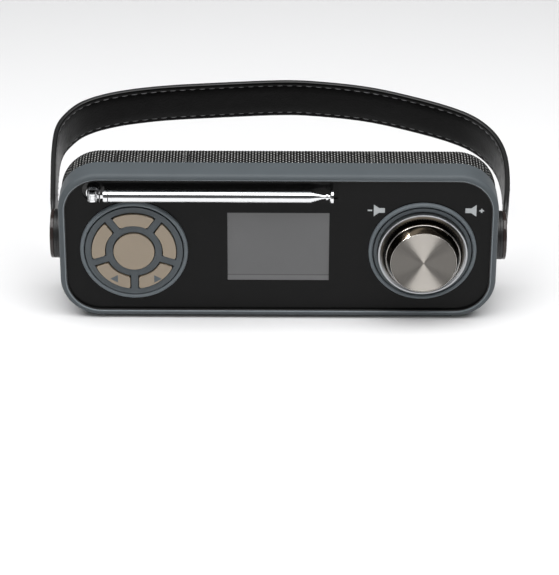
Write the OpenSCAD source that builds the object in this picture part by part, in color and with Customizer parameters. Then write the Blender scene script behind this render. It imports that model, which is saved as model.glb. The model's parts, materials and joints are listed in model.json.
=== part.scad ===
// Portable digital radio with a leather carrying strap, a stowed telescopic
// antenna, a round key pad, a colour display and a push-and-turn knob.
// X runs to the right, Y to the back and Z up. The origin is the middle of
// the underside of the rubber foot. All sizes are in millimetres.

/* [Case] */
// Width of the case
body_w = 236; // [200:1:285]
// Height of the case without its foot
body_h = 86; // [80:1:105]
// Depth of the case from the rim's front to the cloth back
body_d = 41; // [36:0.5:50]
// Corner radius of the case seen from the front
corner_r = 22; // [18:0.5:27]
// Depth of the moulded front frame
bezel_d = 15.8; // [13:0.1:16]
// Wall thickness of the frame and the rear shell
wall = 2.0; // [1.6:0.1:2.4]
// Radius of the rim's front edge
front_round = 2.5; // [1.5:0.1:3.2]
// Radius of the rear edges
back_round = 14; // [10:0.5:16]
// Thickness of the speaker cloth
cloth_t = 0.7; // [0.4:0.1:1]
// Step from the frame down to the cloth
cloth_inset = 0.3; // [0.1:0.1:0.8]
// Height of the rubber foot below the case
foot_h = 1.5; // [1:0.1:3]

/* [Front panel] */
// Width of the rim around the panel
rim_w = 3.9; // [3.4:0.1:5]
// How far the panel lies behind the rim
panel_recess = 2.0; // [1.5:0.1:3]
// Thickness of the panel
panel_t = 2.2; // [1.8:0.1:3]
// Visible width of the display
display_w = 54.8; // [46:0.2:58]
// Visible height of the display
display_h = 41.4; // [34:0.2:46]
// Thickness of the display window
window_t = 1.2; // [0.8:0.1:1.6]
// How far the display's centre lies below mid height
display_drop = 1.0; // [0:0.1:3]

/* [Round controls] */
// Distance of each round control from the middle of the case
dial_x = 77.7; // [72:0.1:83]
// How far the round controls lie below mid height
dial_drop = 2.9; // [1:0.1:4]
// Outer diameter of the raised rings
ring_d = 58.2; // [52:0.1:59]
// Width of the raised rings
ring_w = 2.2; // [1.6:0.1:2.6]
// Diameter of the middle key
mode_key_d = 22.2; // [18:0.1:24]
// Inner radius of the outer keys
key_in_r = 15.5; // [14.5:0.1:17]
// Outer radius of the outer keys
key_out_r = 22.8; // [21:0.1:23.4]
// Number of outer keys
key_count = 5; // [4:1:6]
// Width of the gap between neighbouring outer keys
key_gap = 4.6; // [4:0.1:6]
// Free travel of a key
key_travel = 0.6; // [0.4:0.05:0.7]
// Diameter of the knob's knurled skirt
skirt_d = 48.2; // [44:0.1:48.6]
// Diameter of the knob
knob_d = 40.3; // [36:0.1:42]
// Diameter of the knob's spun metal face
knob_face_d = 36.2; // [32:0.1:37]
// Height of the knob's face in front of the rim
knob_h = 12.3; // [10:0.1:16]
// Push travel of the knob
push_travel = 0.5; // [0.3:0.05:0.6]
// Diameter of the encoder shaft
shaft_d = 6; // [5:0.1:6.4]

/* [Antenna] */
// Distance of the antenna hinge left of the middle
mast_x = 98.7; // [94:0.1:100]
// Height of the antenna above mid height
mast_up = 32.5; // [32:0.1:34]
// Distance of the antenna's axis in front of the rim
mast_out = 3.8; // [3.7:0.1:5]
// Outer diameter of the first tube
mast_d = 6.6; // [6.4:0.1:7]
// Length of the first tube
mast_len = 110.5; // [95:0.5:118]
// Length of each inner section
section_len = 106; // [70:0.5:106]
// Diameter of the tip
tip_d = 7.4; // [6:0.1:8]

/* [Strap] */
// Width of the strap
strap_w = 25; // [20:0.5:26]
// Thickness of the strap
strap_t = 3.2; // [2.4:0.1:3.6]
// Reach of the strap from its pivots
strap_reach = 117; // [110:0.5:135]
// Lean of the strap behind upright
strap_lean = 76; // [40:1:85]
// Diameter of the strap hubs
hub_d = 26.6; // [22:0.1:28]
// How far the pivots lie below mid height
pivot_drop = 3; // [0:0.1:6]

/* [Power] */
// Diameter of a battery cell
cell_d = 14.3; // [13.9:0.1:14.5]
// Length of a battery cell
cell_len = 50.2; // [49:0.1:50.6]
// Bore radius of the headphone socket
aux_bore_r = 1.8; // [1.78:0.01:1.9]
// Bore radius of the power socket
dc_bore_r = 2.9; // [2.8:0.05:3.2]

/* [Hidden] */
$fn = 72;
eps = 0.01;
cut = 1;

// Colours
slate = [0.37, 0.42, 0.45];
ink = [0.06, 0.06, 0.065];
champagne = [0.62, 0.53, 0.43];
steel = [0.75, 0.75, 0.76];
leather = [0.03, 0.03, 0.03];
board_green = [0.08, 0.3, 0.16];

// Fits
glue_gap = 0.1;
slip = 0.3;
running = 0.05;

// Case places, with depths measured behind the rim's front plane
front_y = -body_d / 2;
mid_z = foot_h + body_h / 2;
cloth_w = body_w - 2 * cloth_inset;
cloth_h = body_h - 2 * cloth_inset;
cloth_r = corner_r - cloth_inset;
shell_in = cloth_t + glue_gap;
shell_w = cloth_w - 2 * shell_in;
shell_h = cloth_h - 2 * shell_in;
shell_r = cloth_r - shell_in;
shell_round = back_round - shell_in;
shell_back = body_d - shell_in;
flat_back_h = body_h - 2 * back_round;
lip_t = 2.0;
lip_w = 18;
lip_x = 60;
lip_reach = 4;

// Front panel depths
panel_front = panel_recess;
panel_back = panel_front + panel_t;
panel_lap = rim_w - wall - slip;
panel_w = body_w - 2 * (rim_w - panel_lap);
panel_h = body_h - 2 * (rim_w - panel_lap);
panel_r = corner_r - rim_w + panel_lap;
window_lap = 1.2;
module_t = 3.6;
module_margin = 3.2;
ribbon_w = 22;
ribbon_t = 4;
trough_depth = 1.0;
trough_below = 4.3;
trough_left = 4.0;
trough_right = 2.5;

// Round controls
ring_r = ring_d / 2;
ring_in_r = ring_r - ring_w;
neck_r = ring_in_r + 1.1;
groove = 0.6;
frame_r = ring_in_r - groove;
frame_front = 0.3;
frame_t = 2.0;
frame_back = frame_front + frame_t;
key_front = -0.7;
key_slip = 0.4;
flange_w = 0.9;
flange_t = 0.8;
flange_front = frame_back + 0.1;
plunger_r = 2;
plunger_back = flange_front + 3.6;
stem_front = plunger_back + key_travel + 0.1;
switch_t = 3.2;
switch_size = 6;
stem_r = 1.6;
stem_t = 0.6;
board_t = 1.6;
key_board_front = stem_front + stem_t + switch_t;
skirt_wall = 1.5;
key_mid_r = (key_in_r + key_out_r) / 2;
key_post_r = 1.25;
key_pilot_r = 0.6;
collar_r = neck_r + 2.5;
collar_front = panel_back + 1 + glue_gap;
collar_back = collar_front + 1.2;

// Knob and encoder
skirt_front = -3.2;
skirt_back = 0.8;
skirt_w = 2.4;
well_front = 0.4;
well_floor = 3.0;
floor_t = 1.5;
well_wall = 1.8;
well_r = frame_r;
bevel = 2.2;
knob_wall = 1.6;
face_t = 1.0;
shaft_r = shaft_d / 2;
bush_r = 4.4;
nut_t = 1.8;
hub_r = 5.2;
hub_back = well_floor - nut_t - push_travel - 0.4;
shaft_front = -knob_h + face_t + 2.2;
shaft_back = 8.2;
encoder_size = 13;
encoder_front = well_floor + floor_t;
encoder_t = 7.4;
encoder_back = encoder_front + encoder_t;
cavity_r = 4.2;
plunger_t = 1.0;

// Boards behind the panel
main_front = encoder_back;
main_back = main_front + board_t;
main_left = -50;
main_right = 103;
main_low = -33;
main_high = 29;
post_x = 46;
post_level = -20;
post_r = 3.5;
screw_r = 1.5;
pilot_r = 1.2;
split_depth = 24;
board_post_r = 2.6;
board_posts = [[-44, -28], [35, -28], [35, 25], [98, -30]];
key_board_r = frame_r - 0.4;
key_screw_r = key_board_r - 2.6;

// Rear panel and battery bay
plate_w = 124;
plate_h = min(54, flat_back_h - 4);
plate_t = 1.2;
plate_front = body_d + 0.05;
plate_back = plate_front + plate_t;
plate_r = 6;
plug_w = 112;
plug_h = plate_h - 6;
plug_front = shell_back - wall;
contact_room = 3.2;
tray_wall = 1.4;
bay_w = 2 * cell_len + 2 * contact_room;
bay_h = 2 * cell_d + 1.2;
bay_mid = plug_h / 2 - tray_wall - 0.4 - bay_h / 2;
bay_low = bay_mid - bay_h / 2;
bay_front = plug_front - 0.1 - cell_d - 0.8;
door_w = 103.2;
door_gap = 0.3;
door_t = 2.2;
door_back = plate_back - 0.1;
door_mid = door_back - door_t / 2;
door_barrel_r = door_t / 2 + 0.15;
door_low = bay_low + 1.0;
door_high = bay_low + bay_h - 0.6;
door_pin_r = 0.9;
door_pin_len = 1.6;
jack_level = -plug_h / 2 + 6;
dc_x = -30;
aux_x = -12;
dc_barrel_r = 4.4;
dc_pin_r = 1.0;
dc_depth = 9.5;
dc_body = 12.4;
aux_barrel_r = 3.0;
aux_depth = 13;
aux_body = 14.6;
socket_back = plate_back - 0.3;
jack_board_t = 1.2;

// Speakers
speaker_x = 86;
speaker_r = 17.5;
cone_r = 14;
cone_neck_r = 6;
frame_rim_t = 1.6;
basket_t = 7;
magnet_r = 10.5;
magnet_t = 5;
grille_r = 14.5;
spoke_w = 2;

// Foot
foot_w = 190;
foot_front = 4;
foot_back = 34;

// Antenna
mast_r = mast_d / 2;
tube_wall = 0.3;
tube_step = 0.4;
base_r = 3.7;
base_back = 1.7;
base_front = 0.6;
dish_depth = 1.2;
dish_r = 5.2;
dish_wall = 0.8;
dish_flange_r = 7.4;
dish_flange_t = 1.2;
swivel_r = 2.2;
rivet_r = 3.4;
rivet_t = 1.0;
tang_t = 2.0;
ear_t = 1.2;
ear_gap = 0.1;
eye_r = 2.9;
pin_r = 1.0;
pin_head_r = 1.7;
pin_head_t = 0.5;
tube_start = 5.7;
stagger = 1.3;
plug_len = 5;
mast_sections = 6;
tip_len = 5.2;
mast_total = tube_start + mast_len + (mast_sections - 1) * stagger + tip_len;
dish_back = panel_back + 0.1 + dish_flange_t;
rivet_front = dish_back + 0.1;

// Strap
strap_pivot_z = mid_z - pivot_drop;
hub_r_out = hub_d / 2;
boss_t = 2.0;
boss_x = body_w / 2;
spigot_r = 4.2;
pivot_r = 4.5;
plate_x = boss_x + boss_t + 0.15;
hub_plate_t = 1.35;
cap_x = plate_x + hub_plate_t;
cap_t = 2.8;
cap_dome = 1.0;
head_r = 5.5;
head_t = 1.2;
tongue_w = 17;
tongue_t = 1.65;
tongue_x = cap_x + 0.15;
nut_r = 3.2;
nut_len = 2.4;
strap_x = cap_x + cap_t / 2 - 0.4;
strap_start = hub_r_out + 0.9;

// Strap centreline as shares of its half width and of its reach, from the left
// hub round to the right one
strap_line = [[-1, 0], [-1.012, 0.25], [-1.022, 0.48], [-1.016, 0.64],
    [-0.978, 0.745], [-0.905, 0.835], [-0.775, 0.9], [-0.585, 0.945],
    [-0.36, 0.972], [0, 1], [0.2, 0.988], [0.43, 0.945], [0.645, 0.868],
    [0.81, 0.79], [0.915, 0.71], [0.99, 0.595], [1.026, 0.45],
    [1.028, 0.25], [1, 0]];
strap_steps = 5;

// Puts children in the plane of the rim: x right, y up from mid height and z
// towards the user
module face() {
    translate([0, front_y, mid_z]) rotate([90, 0, 0]) children();
}

// Extrudes a flat shape between two depths behind the rim
module slab(front, back) {
    translate([0, 0, -back]) linear_extrude(back - front) children();
}

// Rectangle with round corners, centred
module rounded(w, h, r) {
    square([w - 2 * r, h], center = true);
    square([w, h - 2 * r], center = true);
    for (x = [-1, 1], y = [-1, 1])
        translate([x * (w / 2 - r), y * (h / 2 - r)]) circle(r);
}

// Sweeps a profile round a rounded rectangle. In the profile, x is the distance
// in from the outer edge and y the height towards the user.
module sweep_round(w, h, r) {
    for (sx = [0, 1], sy = [0, 1])
        mirror([sx, 0, 0]) mirror([0, sy, 0])
            translate([w / 2 - r, h / 2 - r, 0])
                rotate_extrude(angle = 90)
                    translate([r, 0]) mirror([1, 0]) children();
    for (s = [0, 1]) {
        mirror([s, 0, 0]) translate([w / 2, h / 2 - r, 0])
            rotate([90, 0, 0]) linear_extrude(h - 2 * r)
                mirror([1, 0]) children();
        mirror([0, s, 0]) translate([-(w / 2 - r), h / 2, 0])
            rotate([90, 0, 90]) linear_extrude(w - 2 * r)
                mirror([1, 0]) children();
    }
}

// Profile of a wall that turns inwards at its rear edge
module wall_profile(front, back, round_r, t) {
    translate([0, round_r - back]) square([t, back - round_r - front]);
    translate([round_r, round_r - back]) intersection() {
        difference() {
            circle(round_r);
            circle(round_r - t);
        }
        translate([-round_r, -round_r]) square(round_r);
    }
}

// Places children at both round controls' height
module at_dial(side) {
    translate([side * dial_x, -dial_drop, 0]) children();
}

// ---- Case ----

module front_bezel() color(slate) face() sweep_round(body_w, body_h, corner_r) {
    difference() {
        union() {
            translate([front_round, -front_round]) circle(front_round);
            translate([front_round, -panel_front])
                square([rim_w - front_round, panel_front]);
            translate([0, -bezel_d]) square([wall, bezel_d - front_round]);
        }
        translate([wall, -bezel_d]) square([2 * front_round, bezel_d - panel_front]);
    }
}

module front_panel() color(ink) face() difference() {
    union() {
        slab(panel_front, panel_back) rounded(panel_w, panel_h, panel_r);
        for (s = [-1, 1]) translate([s * post_x, post_level])
            slab(panel_back, split_depth) circle(post_r);
        for (p = board_posts) translate(p)
            slab(panel_back, main_front) circle(board_post_r);
    }
    for (s = [-1, 1]) at_dial(s) slab(0, panel_back + cut) circle(neck_r + slip / 2);
    translate([0, -display_drop]) {
        slab(panel_front - cut, panel_back + cut) square([display_w, display_h], center = true);
        slab(panel_front + window_t / 2, panel_back + cut)
            square([display_w + 2 * window_lap, display_h + 2 * window_lap], center = true);
    }
    translate([-mast_x - trough_left, mast_up - trough_below])
        slab(panel_front - cut, panel_front + trough_depth)
            square([trough_left + mast_total + trough_right,
                body_h / 2 - rim_w - mast_up + trough_below]);
    translate([-mast_x, mast_up])
        slab(panel_front - cut, panel_back + cut) circle(dish_r + dish_wall + glue_gap);
    for (s = [-1, 1]) translate([s * post_x, post_level])
        slab(panel_back + 3, split_depth + cut) circle(pilot_r);
    for (p = board_posts) translate(p)
        slab(panel_back + 1, main_front + cut) circle(pilot_r);
}

module rear_shell() color(ink) face() difference() {
    union() {
        sweep_round(shell_w, shell_h, shell_r)
            wall_profile(bezel_d, shell_back, shell_round, wall);
        slab(shell_back - wall, shell_back)
            rounded(shell_w - 2 * shell_round, shell_h - 2 * shell_round,
                shell_r - shell_round);
        // lips that slip inside the frame
        for (x = [-lip_x, 0, lip_x], s = [-1, 1])
            translate([x, s * (body_h / 2 - wall - slip / 2 - lip_t / 2)])
                slab(bezel_d - lip_reach, bezel_d + wall) square([lip_w, lip_t], center = true);
    }
    slab(shell_back - wall - cut, shell_back + cut) square([plug_w + 2 * slip, plug_h + 2 * slip], center = true);
    for (s = [-1, 1]) translate([s * speaker_x, 0])
        slab(shell_back - wall - cut, shell_back + cut) difference() {
            circle(grille_r);
            circle(grille_r / 3);
            for (a = [0, 60, 120]) rotate(a)
                square([2 * grille_r + 2, spoke_w], center = true);
        }
    pivot_holes();
}

// Holes in the sides of the case for the strap pivots
module pivot_holes() {
    translate([0, -pivot_drop, front_y]) rotate([0, 90, 0])
        cylinder(r = spigot_r + slip / 2, h = body_w + 10, center = true);
}

module cloth_cover() color([0.09, 0.09, 0.09]) face() difference() {
    union() {
        sweep_round(cloth_w, cloth_h, cloth_r)
            wall_profile(bezel_d, body_d, back_round, cloth_t);
        slab(body_d - cloth_t, body_d)
            rounded(cloth_w - 2 * back_round, cloth_h - 2 * back_round,
                cloth_r - back_round);
    }
    slab(body_d - cloth_t - cut, body_d + cut) square([plug_w + 2 * slip, plug_h + 2 * slip], center = true);
    pivot_holes();
}

module rear_panel() color(ink) face() difference() {
    union() {
        slab(plate_front, plate_back) rounded(plate_w, plate_h, plate_r);
        slab(plug_front, plate_front) square([plug_w, plug_h], center = true);
        for (s = [-1, 1]) translate([s * post_x, post_level])
            slab(split_depth + 0.05, plug_front) circle(post_r);
    }
    // battery door opening
    translate([0, (door_low + door_high) / 2])
        slab(plug_front - cut, plate_back + cut)
            square([door_w + 2 * door_gap, door_high - door_low + 2 * door_barrel_r + 2 * door_gap],
                center = true);
    for (s = [-1, 1]) {
        translate([s * post_x, post_level]) {
            slab(split_depth - cut, plate_back + cut) circle(screw_r + 0.2);
            slab(plate_back - 2, plate_back + cut) circle(2 * screw_r + 0.2);
        }
        translate([s * (door_w / 2 + door_gap), door_low, -door_mid]) rotate([0, 90, 0])
            cylinder(r = door_pin_r + running, h = 2 * door_pin_len + 0.4, center = true);
    }
    translate([dc_x, jack_level]) slab(plug_front - cut, plate_back + cut) circle(dc_barrel_r + slip / 2);
    translate([aux_x, jack_level]) slab(plug_front - cut, plate_back + cut) circle(aux_barrel_r + slip / 2);
}

module case_screws() color(steel) face()
    for (s = [-1, 1]) translate([s * post_x, post_level]) {
        slab(split_depth - 6, plate_back - 2) circle(screw_r - 0.35);
        difference() {
            slab(plate_back - 2, plate_back - 0.4) circle(2 * screw_r);
            slab(plate_back - 1.2, plate_back) square([4, 0.7], center = true);
            slab(plate_back - 1.2, plate_back) square([0.7, 4], center = true);
        }
    }

// Rubber foot whose top follows the underside of the cloth's rear edge
module base_foot() color(ink)
    translate([-foot_w / 2, front_y, 0]) rotate([90, 0, 90]) linear_extrude(foot_w)
        difference() {
            translate([foot_front, 0]) square([foot_back - foot_front, foot_h + back_round / 2]);
            translate([0, foot_h]) square([bezel_d + slip, body_h]);
            translate([0, foot_h + cloth_inset]) square([body_d - back_round, body_h]);
            translate([body_d - back_round, foot_h + cloth_inset + back_round])
                circle(back_round + glue_gap);
        }

// ---- Display ----

module display_window() color([0.4, 0.4, 0.4]) face() translate([0, -display_drop]) {
    slab(panel_front + 0.35, panel_front + window_t / 2)
        square([display_w - 0.2, display_h - 0.2], center = true);
    slab(panel_front + window_t / 2, panel_front + 0.6 + window_t / 2)
        square([display_w + 2 * window_lap - 0.2, display_h + 2 * window_lap - 0.2],
            center = true);
}

module display_module() color([0.25, 0.25, 0.27]) face() translate([0, -display_drop]) {
    slab(panel_back + 0.05, panel_back + module_t)
        square([display_w + 2 * module_margin, display_h + 2 * module_margin], center = true);
    // ribbon connector down to the main board
    translate([0, -display_h / 2])
        slab(panel_back + module_t, main_front) square([ribbon_w, ribbon_t], center = true);
}

// ---- Key pad ----

// Raised ring with rounded edges and a neck that drops into the panel
module raised_ring() rotate_extrude() {
    translate([ring_in_r, -panel_front]) square([ring_w, panel_front - ring_w / 2]);
    intersection() {
        translate([ring_in_r + ring_w / 2, -ring_w / 2]) circle(ring_w / 2);
        translate([ring_in_r, -ring_w / 2]) square(ring_w);
    }
    translate([ring_in_r, -panel_back - 1]) square([neck_r - ring_in_r, panel_t + 1]);
}

// Collar behind the panel that the ring's neck stands on
module collar(front) {
    slab(front, collar_back) difference() {
        circle(frame_r);
        circle(frame_r - well_wall);
    }
    slab(collar_front, collar_back) difference() {
        circle(collar_r);
        circle(frame_r - well_wall);
    }
}

module button_ring() color(slate) face() at_dial(-1) raised_ring();

// Flat outline of one outer key, grown or shrunk by grow
module key_outline(index, grow) {
    turn = 360 / key_count;
    rotate(90 + index * turn) difference() {
        intersection() {
            circle(key_out_r + grow);
            polygon([[0, 0], [2 * key_out_r, -2 * key_out_r * tan(turn / 2)],
                [2 * key_out_r, 2 * key_out_r * tan(turn / 2)]]);
        }
        circle(key_in_r - grow);
        for (s = [-1, 1]) rotate(s * turn / 2)
            translate([0, s * (0 - key_gap / 2 + grow) - (s > 0 ? 0 : key_gap)])
                square([2 * key_out_r, key_gap]);
    }
}

// Children at the middle of one outer key
module at_key(index) {
    rotate(90 + index * 360 / key_count) translate([key_mid_r, 0]) children();
}

// Children at the web after one outer key
module at_web(index) {
    rotate(90 + (index + 0.5) * 360 / key_count) translate([key_screw_r, 0]) children();
}

module button_frame() color(slate) face() at_dial(-1) difference() {
    union() {
        slab(frame_front, frame_back) circle(frame_r);
        slab(frame_back, key_board_front) difference() {
            circle(frame_r);
            circle(frame_r - skirt_wall);
        }
        collar(frame_back);
        for (i = [0 : key_count - 1]) at_web(i)
            slab(frame_back, key_board_front) circle(key_post_r);
    }
    slab(-cut, frame_back + cut) circle(mode_key_d / 2 + key_slip);
    for (i = [0 : key_count - 1])
        slab(-cut, frame_back + cut) key_outline(i, key_slip);
    for (i = [0 : key_count - 1]) at_web(i)
        slab(key_board_front - 3, key_board_front + 1) circle(key_pilot_r);
}

module key_board() color(board_green) face() at_dial(-1) difference() {
    slab(key_board_front, key_board_front + board_t) circle(key_board_r);
    for (i = [0 : key_count - 1]) at_web(i)
        slab(key_board_front - cut, key_board_front + 3) circle(key_pilot_r + slip);
}

// Tactile switch whose stem faces the plunger of a key
module tact_switch() {
    slab(key_board_front - switch_t, key_board_front) square(switch_size, center = true);
    slab(stem_front, key_board_front - switch_t) circle(stem_r);
}

module tact_switches() color([0.15, 0.15, 0.15]) face() at_dial(-1) {
    tact_switch();
    for (i = [0 : key_count - 1]) at_key(i) tact_switch();
}

module key_mode() color(champagne) face() at_dial(-1) {
    slab(key_front, flange_front) circle(mode_key_d / 2);
    slab(flange_front, flange_front + flange_t) circle(mode_key_d / 2 + key_slip + flange_w);
    slab(flange_front, plunger_back) circle(plunger_r);
}

module outer_key(index) color(champagne) face() at_dial(-1) {
    slab(key_front, flange_front) key_outline(index, 0);
    slab(flange_front, flange_front + flange_t)
        key_outline(index, key_slip + flange_w / 2);
    at_key(index) slab(flange_front, plunger_back) circle(plunger_r);
}

// ---- Knob ----

module dial_ring() color(slate) face() at_dial(1) raised_ring();

module dial_well() color(slate) face() at_dial(1) difference() {
    union() {
        slab(well_front, encoder_front) circle(well_r);
        collar(well_floor);
    }
    slab(well_front - cut, well_floor) circle(well_r - well_wall);
    slab(well_floor - cut, encoder_front + cut) circle(bush_r + running);
}

module encoder_body() color([0.5, 0.5, 0.52]) face() at_dial(1) difference() {
    union() {
        slab(encoder_front, encoder_back) square(encoder_size, center = true);
        slab(well_floor - nut_t + 0.2, encoder_front) circle(bush_r);
    }
    slab(well_floor - nut_t - cut, shaft_back + cut) circle(shaft_r + running);
    slab(shaft_back - 0.1, encoder_back - 0.8) circle(cavity_r);
}

module encoder_nut() color(steel) face() at_dial(1) difference() {
    slab(well_floor - nut_t + 0.3, well_floor) circle(r = 7, $fn = 6);
    slab(0, well_floor + cut) circle(bush_r);
}

module encoder_shaft() color(steel) face() at_dial(1)
    slab(shaft_front, shaft_back) circle(shaft_r);

module switch_plunger() color(champagne) face() at_dial(1)
    slab(shaft_back + 0.05, shaft_back + plunger_t) circle(cavity_r - 0.3);

module knob_skirt() color(steel) face() at_dial(1) rotate_extrude() {
    translate([skirt_d / 2 - skirt_w, -skirt_back])
        square([skirt_w, skirt_back - skirt_front]);
    translate([knob_d / 2 + running, -skirt_back])
        square([skirt_d / 2 - skirt_w / 2 - knob_d / 2 - running, 1.4]);
}

module knob_shell() color([0.3, 0.28, 0.26]) face() at_dial(1) rotate_extrude() difference() {
    union() {
        translate([0, 0]) square([knob_d / 2, knob_h - bevel]);
        translate([0, -skirt_back]) square([knob_d / 2, skirt_back + eps]);
        polygon([[0, knob_h - bevel - eps], [knob_d / 2, knob_h - bevel - eps],
            [knob_face_d / 2 + 0.3, knob_h], [0, knob_h]]);
    }
    translate([0, knob_h - face_t]) square([knob_face_d / 2, face_t + 1]);
    translate([hub_r, -skirt_back - 1])
        square([knob_d / 2 - knob_wall - hub_r, knob_h + skirt_back - face_t - 1]);
    translate([0, -skirt_back - 1]) square([hub_r + eps, skirt_back + 1 - hub_back]);
    translate([0, -skirt_back - 1]) square([shaft_r, skirt_back + 1 - shaft_front]);
}

module knob_face() color([0.72, 0.7, 0.67]) face() at_dial(1)
    slab(-knob_h, -knob_h + face_t) circle(knob_face_d / 2 - 0.05);

// ---- Boards ----

module main_board() color(board_green) face() difference() {
    translate([main_left, main_low])
        slab(main_front, main_back) square([main_right - main_left, main_high - main_low]);
    for (s = [-1, 1]) translate([s * post_x, post_level])
        slab(main_front - cut, main_back + cut) circle(post_r + slip);
    for (p = board_posts) translate(p)
        slab(main_front - cut, main_back + cut) circle(screw_r);
}

module board_parts() color([0.55, 0.55, 0.56]) face() {
    // shielded tuner, processor, amplifier, connectors and capacitors
    for (c = [[10, 12, 26, 22, 3.2], [-24, -8, 14, 14, 1.4], [62, -22, 10, 10, 1.6],
            [-40, 8, 6, 12, 4], [80, 20, 14, 6, 5]])
        translate([c[0], c[1]]) slab(main_back, main_back + c[4])
            square([c[2], c[3]], center = true);
    for (x = [40, 48, 56]) translate([x, 0]) slab(main_back, main_back + 5.5) circle(3);
}

module board_screws() color(steel) face() {
    for (p = board_posts) translate(p) {
        slab(main_back, main_back + 1.4) circle(2.6);
        slab(main_front - 5, main_back) circle(pilot_r - 0.05);
    }
    at_dial(-1) for (i = [0 : key_count - 1]) at_web(i) {
        slab(key_board_front + board_t, key_board_front + board_t + 1) circle(1.5);
        slab(key_board_front - 2.5, key_board_front + board_t) circle(key_pilot_r - running);
    }
}

// ---- Speakers ----

module speaker_frames() color([0.2, 0.2, 0.2]) face()
    for (s = [-1, 1]) translate([s * speaker_x, 0, -plug_front]) difference() {
        rotate_extrude() {
            translate([cone_r + 0.4, 0]) square([speaker_r - cone_r - 0.4, frame_rim_t]);
            polygon([[cone_r + 0.4, 1], [cone_r + 2, 1], [magnet_r, basket_t], [magnet_r, basket_t + 1],
                [cone_neck_r + 0.6, basket_t + 1], [cone_neck_r + 0.6, basket_t],
                [magnet_r - 1.2, basket_t - 1.2]]);
            translate([0, basket_t + 1]) square([magnet_r, magnet_t]);
        }
    }

module speaker_cones() color([0.1, 0.1, 0.1]) face()
    for (s = [-1, 1]) translate([s * speaker_x, 0, -plug_front]) rotate_extrude()
        polygon([[cone_r + 0.4, 0.3], [cone_r + 0.4, 0.9], [cone_r - 1.5, 0.9],
            [cone_neck_r + 0.3, basket_t - 0.5], [0, basket_t - 0.5], [0, basket_t - 1.2],
            [cone_neck_r, basket_t - 1.2], [cone_r - 2, 0.3]]);

// ---- Power and sockets ----

module battery_tray() color([0.16, 0.16, 0.17]) face() translate([0, bay_mid]) difference() {
    slab(bay_front - tray_wall, plug_front - 0.05)
        square([bay_w + 2 * tray_wall, bay_h + 2 * tray_wall], center = true);
    slab(bay_front, plug_front + cut) square([bay_w, bay_h], center = true);
}

module battery_cells() color([0.55, 0.5, 0.3]) face()
    for (s = [-1, 1], row = [-1, 1])
        translate([s > 0 ? 0.1 : -cell_len - 0.1, bay_mid + row * (cell_d / 2 + 0.1),
            -bay_front - cell_d / 2 - 0.3])
            rotate([0, 90, 0]) {
                cylinder(r = cell_d / 2, h = cell_len - 1.2);
                cylinder(r = 2.6, h = cell_len);
            }

module battery_contacts() color(steel) face()
    for (s = [-1, 1], row = [-1, 1])
        translate([s * (bay_w / 2 - 0.3), bay_mid + row * (cell_d / 2 + 0.1),
            -bay_front - cell_d / 2 - 0.3]) {
            cube([0.5, cell_d - 4, cell_d - 4], center = true);
            if (s < 0) rotate([0, 90, 0]) cylinder(r = 3, h = contact_room - 0.5);
            else rotate([0, -90, 0]) cylinder(r = 1.6, h = contact_room - 0.6);
        }

module battery_door() color(ink) face() difference() {
    union() {
        translate([-door_w / 2, door_low]) slab(door_mid - door_t / 2, door_back)
            square([door_w, door_high - door_low]);
        translate([0, door_low, -door_mid]) rotate([0, 90, 0]) {
            cylinder(r = door_barrel_r, h = door_w, center = true);
            cylinder(r = door_pin_r, h = door_w + 2 * door_pin_len, center = true);
        }
    }
    // finger notch at the top edge
    translate([0, door_high + 4]) slab(door_back - 1.2, door_back + cut) circle(9);
}

module dc_socket() color(ink) face() translate([dc_x, jack_level]) {
    difference() {
        union() {
            slab(socket_back - dc_body, plug_front - 0.05)
                square([2 * dc_barrel_r + 0.4, 2 * dc_barrel_r], center = true);
            slab(plug_front - 0.1, socket_back) circle(dc_barrel_r);
        }
        slab(socket_back - dc_depth, socket_back + cut) circle(dc_bore_r);
    }
    slab(socket_back - dc_depth - 1, socket_back - 1.4) circle(dc_pin_r);
}

module aux_socket() color(ink) face() translate([aux_x, jack_level]) difference() {
    union() {
        slab(socket_back - aux_body, plug_front - 0.05)
            square([2 * aux_barrel_r + 4, 2 * aux_barrel_r + 2], center = true);
        slab(plug_front - 0.1, socket_back) circle(aux_barrel_r);
    }
    slab(socket_back - aux_depth, socket_back + cut) circle(aux_bore_r);
}

module jack_board() color(board_green) face() {
    back = socket_back - aux_body;
    difference() {
        translate([dc_x - 9, jack_level - 7]) slab(back - jack_board_t, back)
            square([aux_x - dc_x + 18, 12]);
        translate([dc_x, jack_level]) slab(back - 3, back + 1) circle(1);
    }
    translate([dc_x, jack_level]) slab(back, socket_back - dc_body) square(7, center = true);
}

// ---- Antenna ----

// Children at the antenna hinge, with x along the stowed mast
module at_mast() {
    face() translate([-mast_x, mast_up, mast_out]) children();
}

// Dish in the panel that the mast's foot turns in
module antenna_socket() color(ink) at_mast() translate([0, 0, -mast_out]) difference() {
    union() {
        slab(panel_front + trough_depth, dish_back) circle(dish_r + dish_wall);
        slab(panel_back + 0.1, dish_back) circle(dish_flange_r);
    }
    slab(panel_front, panel_front + trough_depth + dish_depth - 0.4) circle(dish_r);
    slab(panel_front, dish_back + cut) circle(swivel_r + running);
}

module antenna_base() color(steel) at_mast() {
    translate([0, 0, -mast_out]) {
        slab(base_back, rivet_front + rivet_t) circle(swivel_r);
        slab(-base_front, base_back) circle(base_r);
        slab(rivet_front, rivet_front + rivet_t) circle(rivet_r);
    }
    // two ears that hold the mast's tang
    for (s = [-1, 1]) translate([0, s * (tang_t / 2 + ear_gap + ear_t / 2), 0])
        rotate([90, 0, 0]) difference() {
            union() {
                cylinder(r = eye_r, h = ear_t, center = true);
                translate([-eye_r, -mast_out + base_front / 2, -ear_t / 2])
                    cube([2 * eye_r, mast_out - base_front / 2, ear_t]);
            }
            cylinder(r = pin_r + running, h = ear_t + 2, center = true);
        }
}

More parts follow.
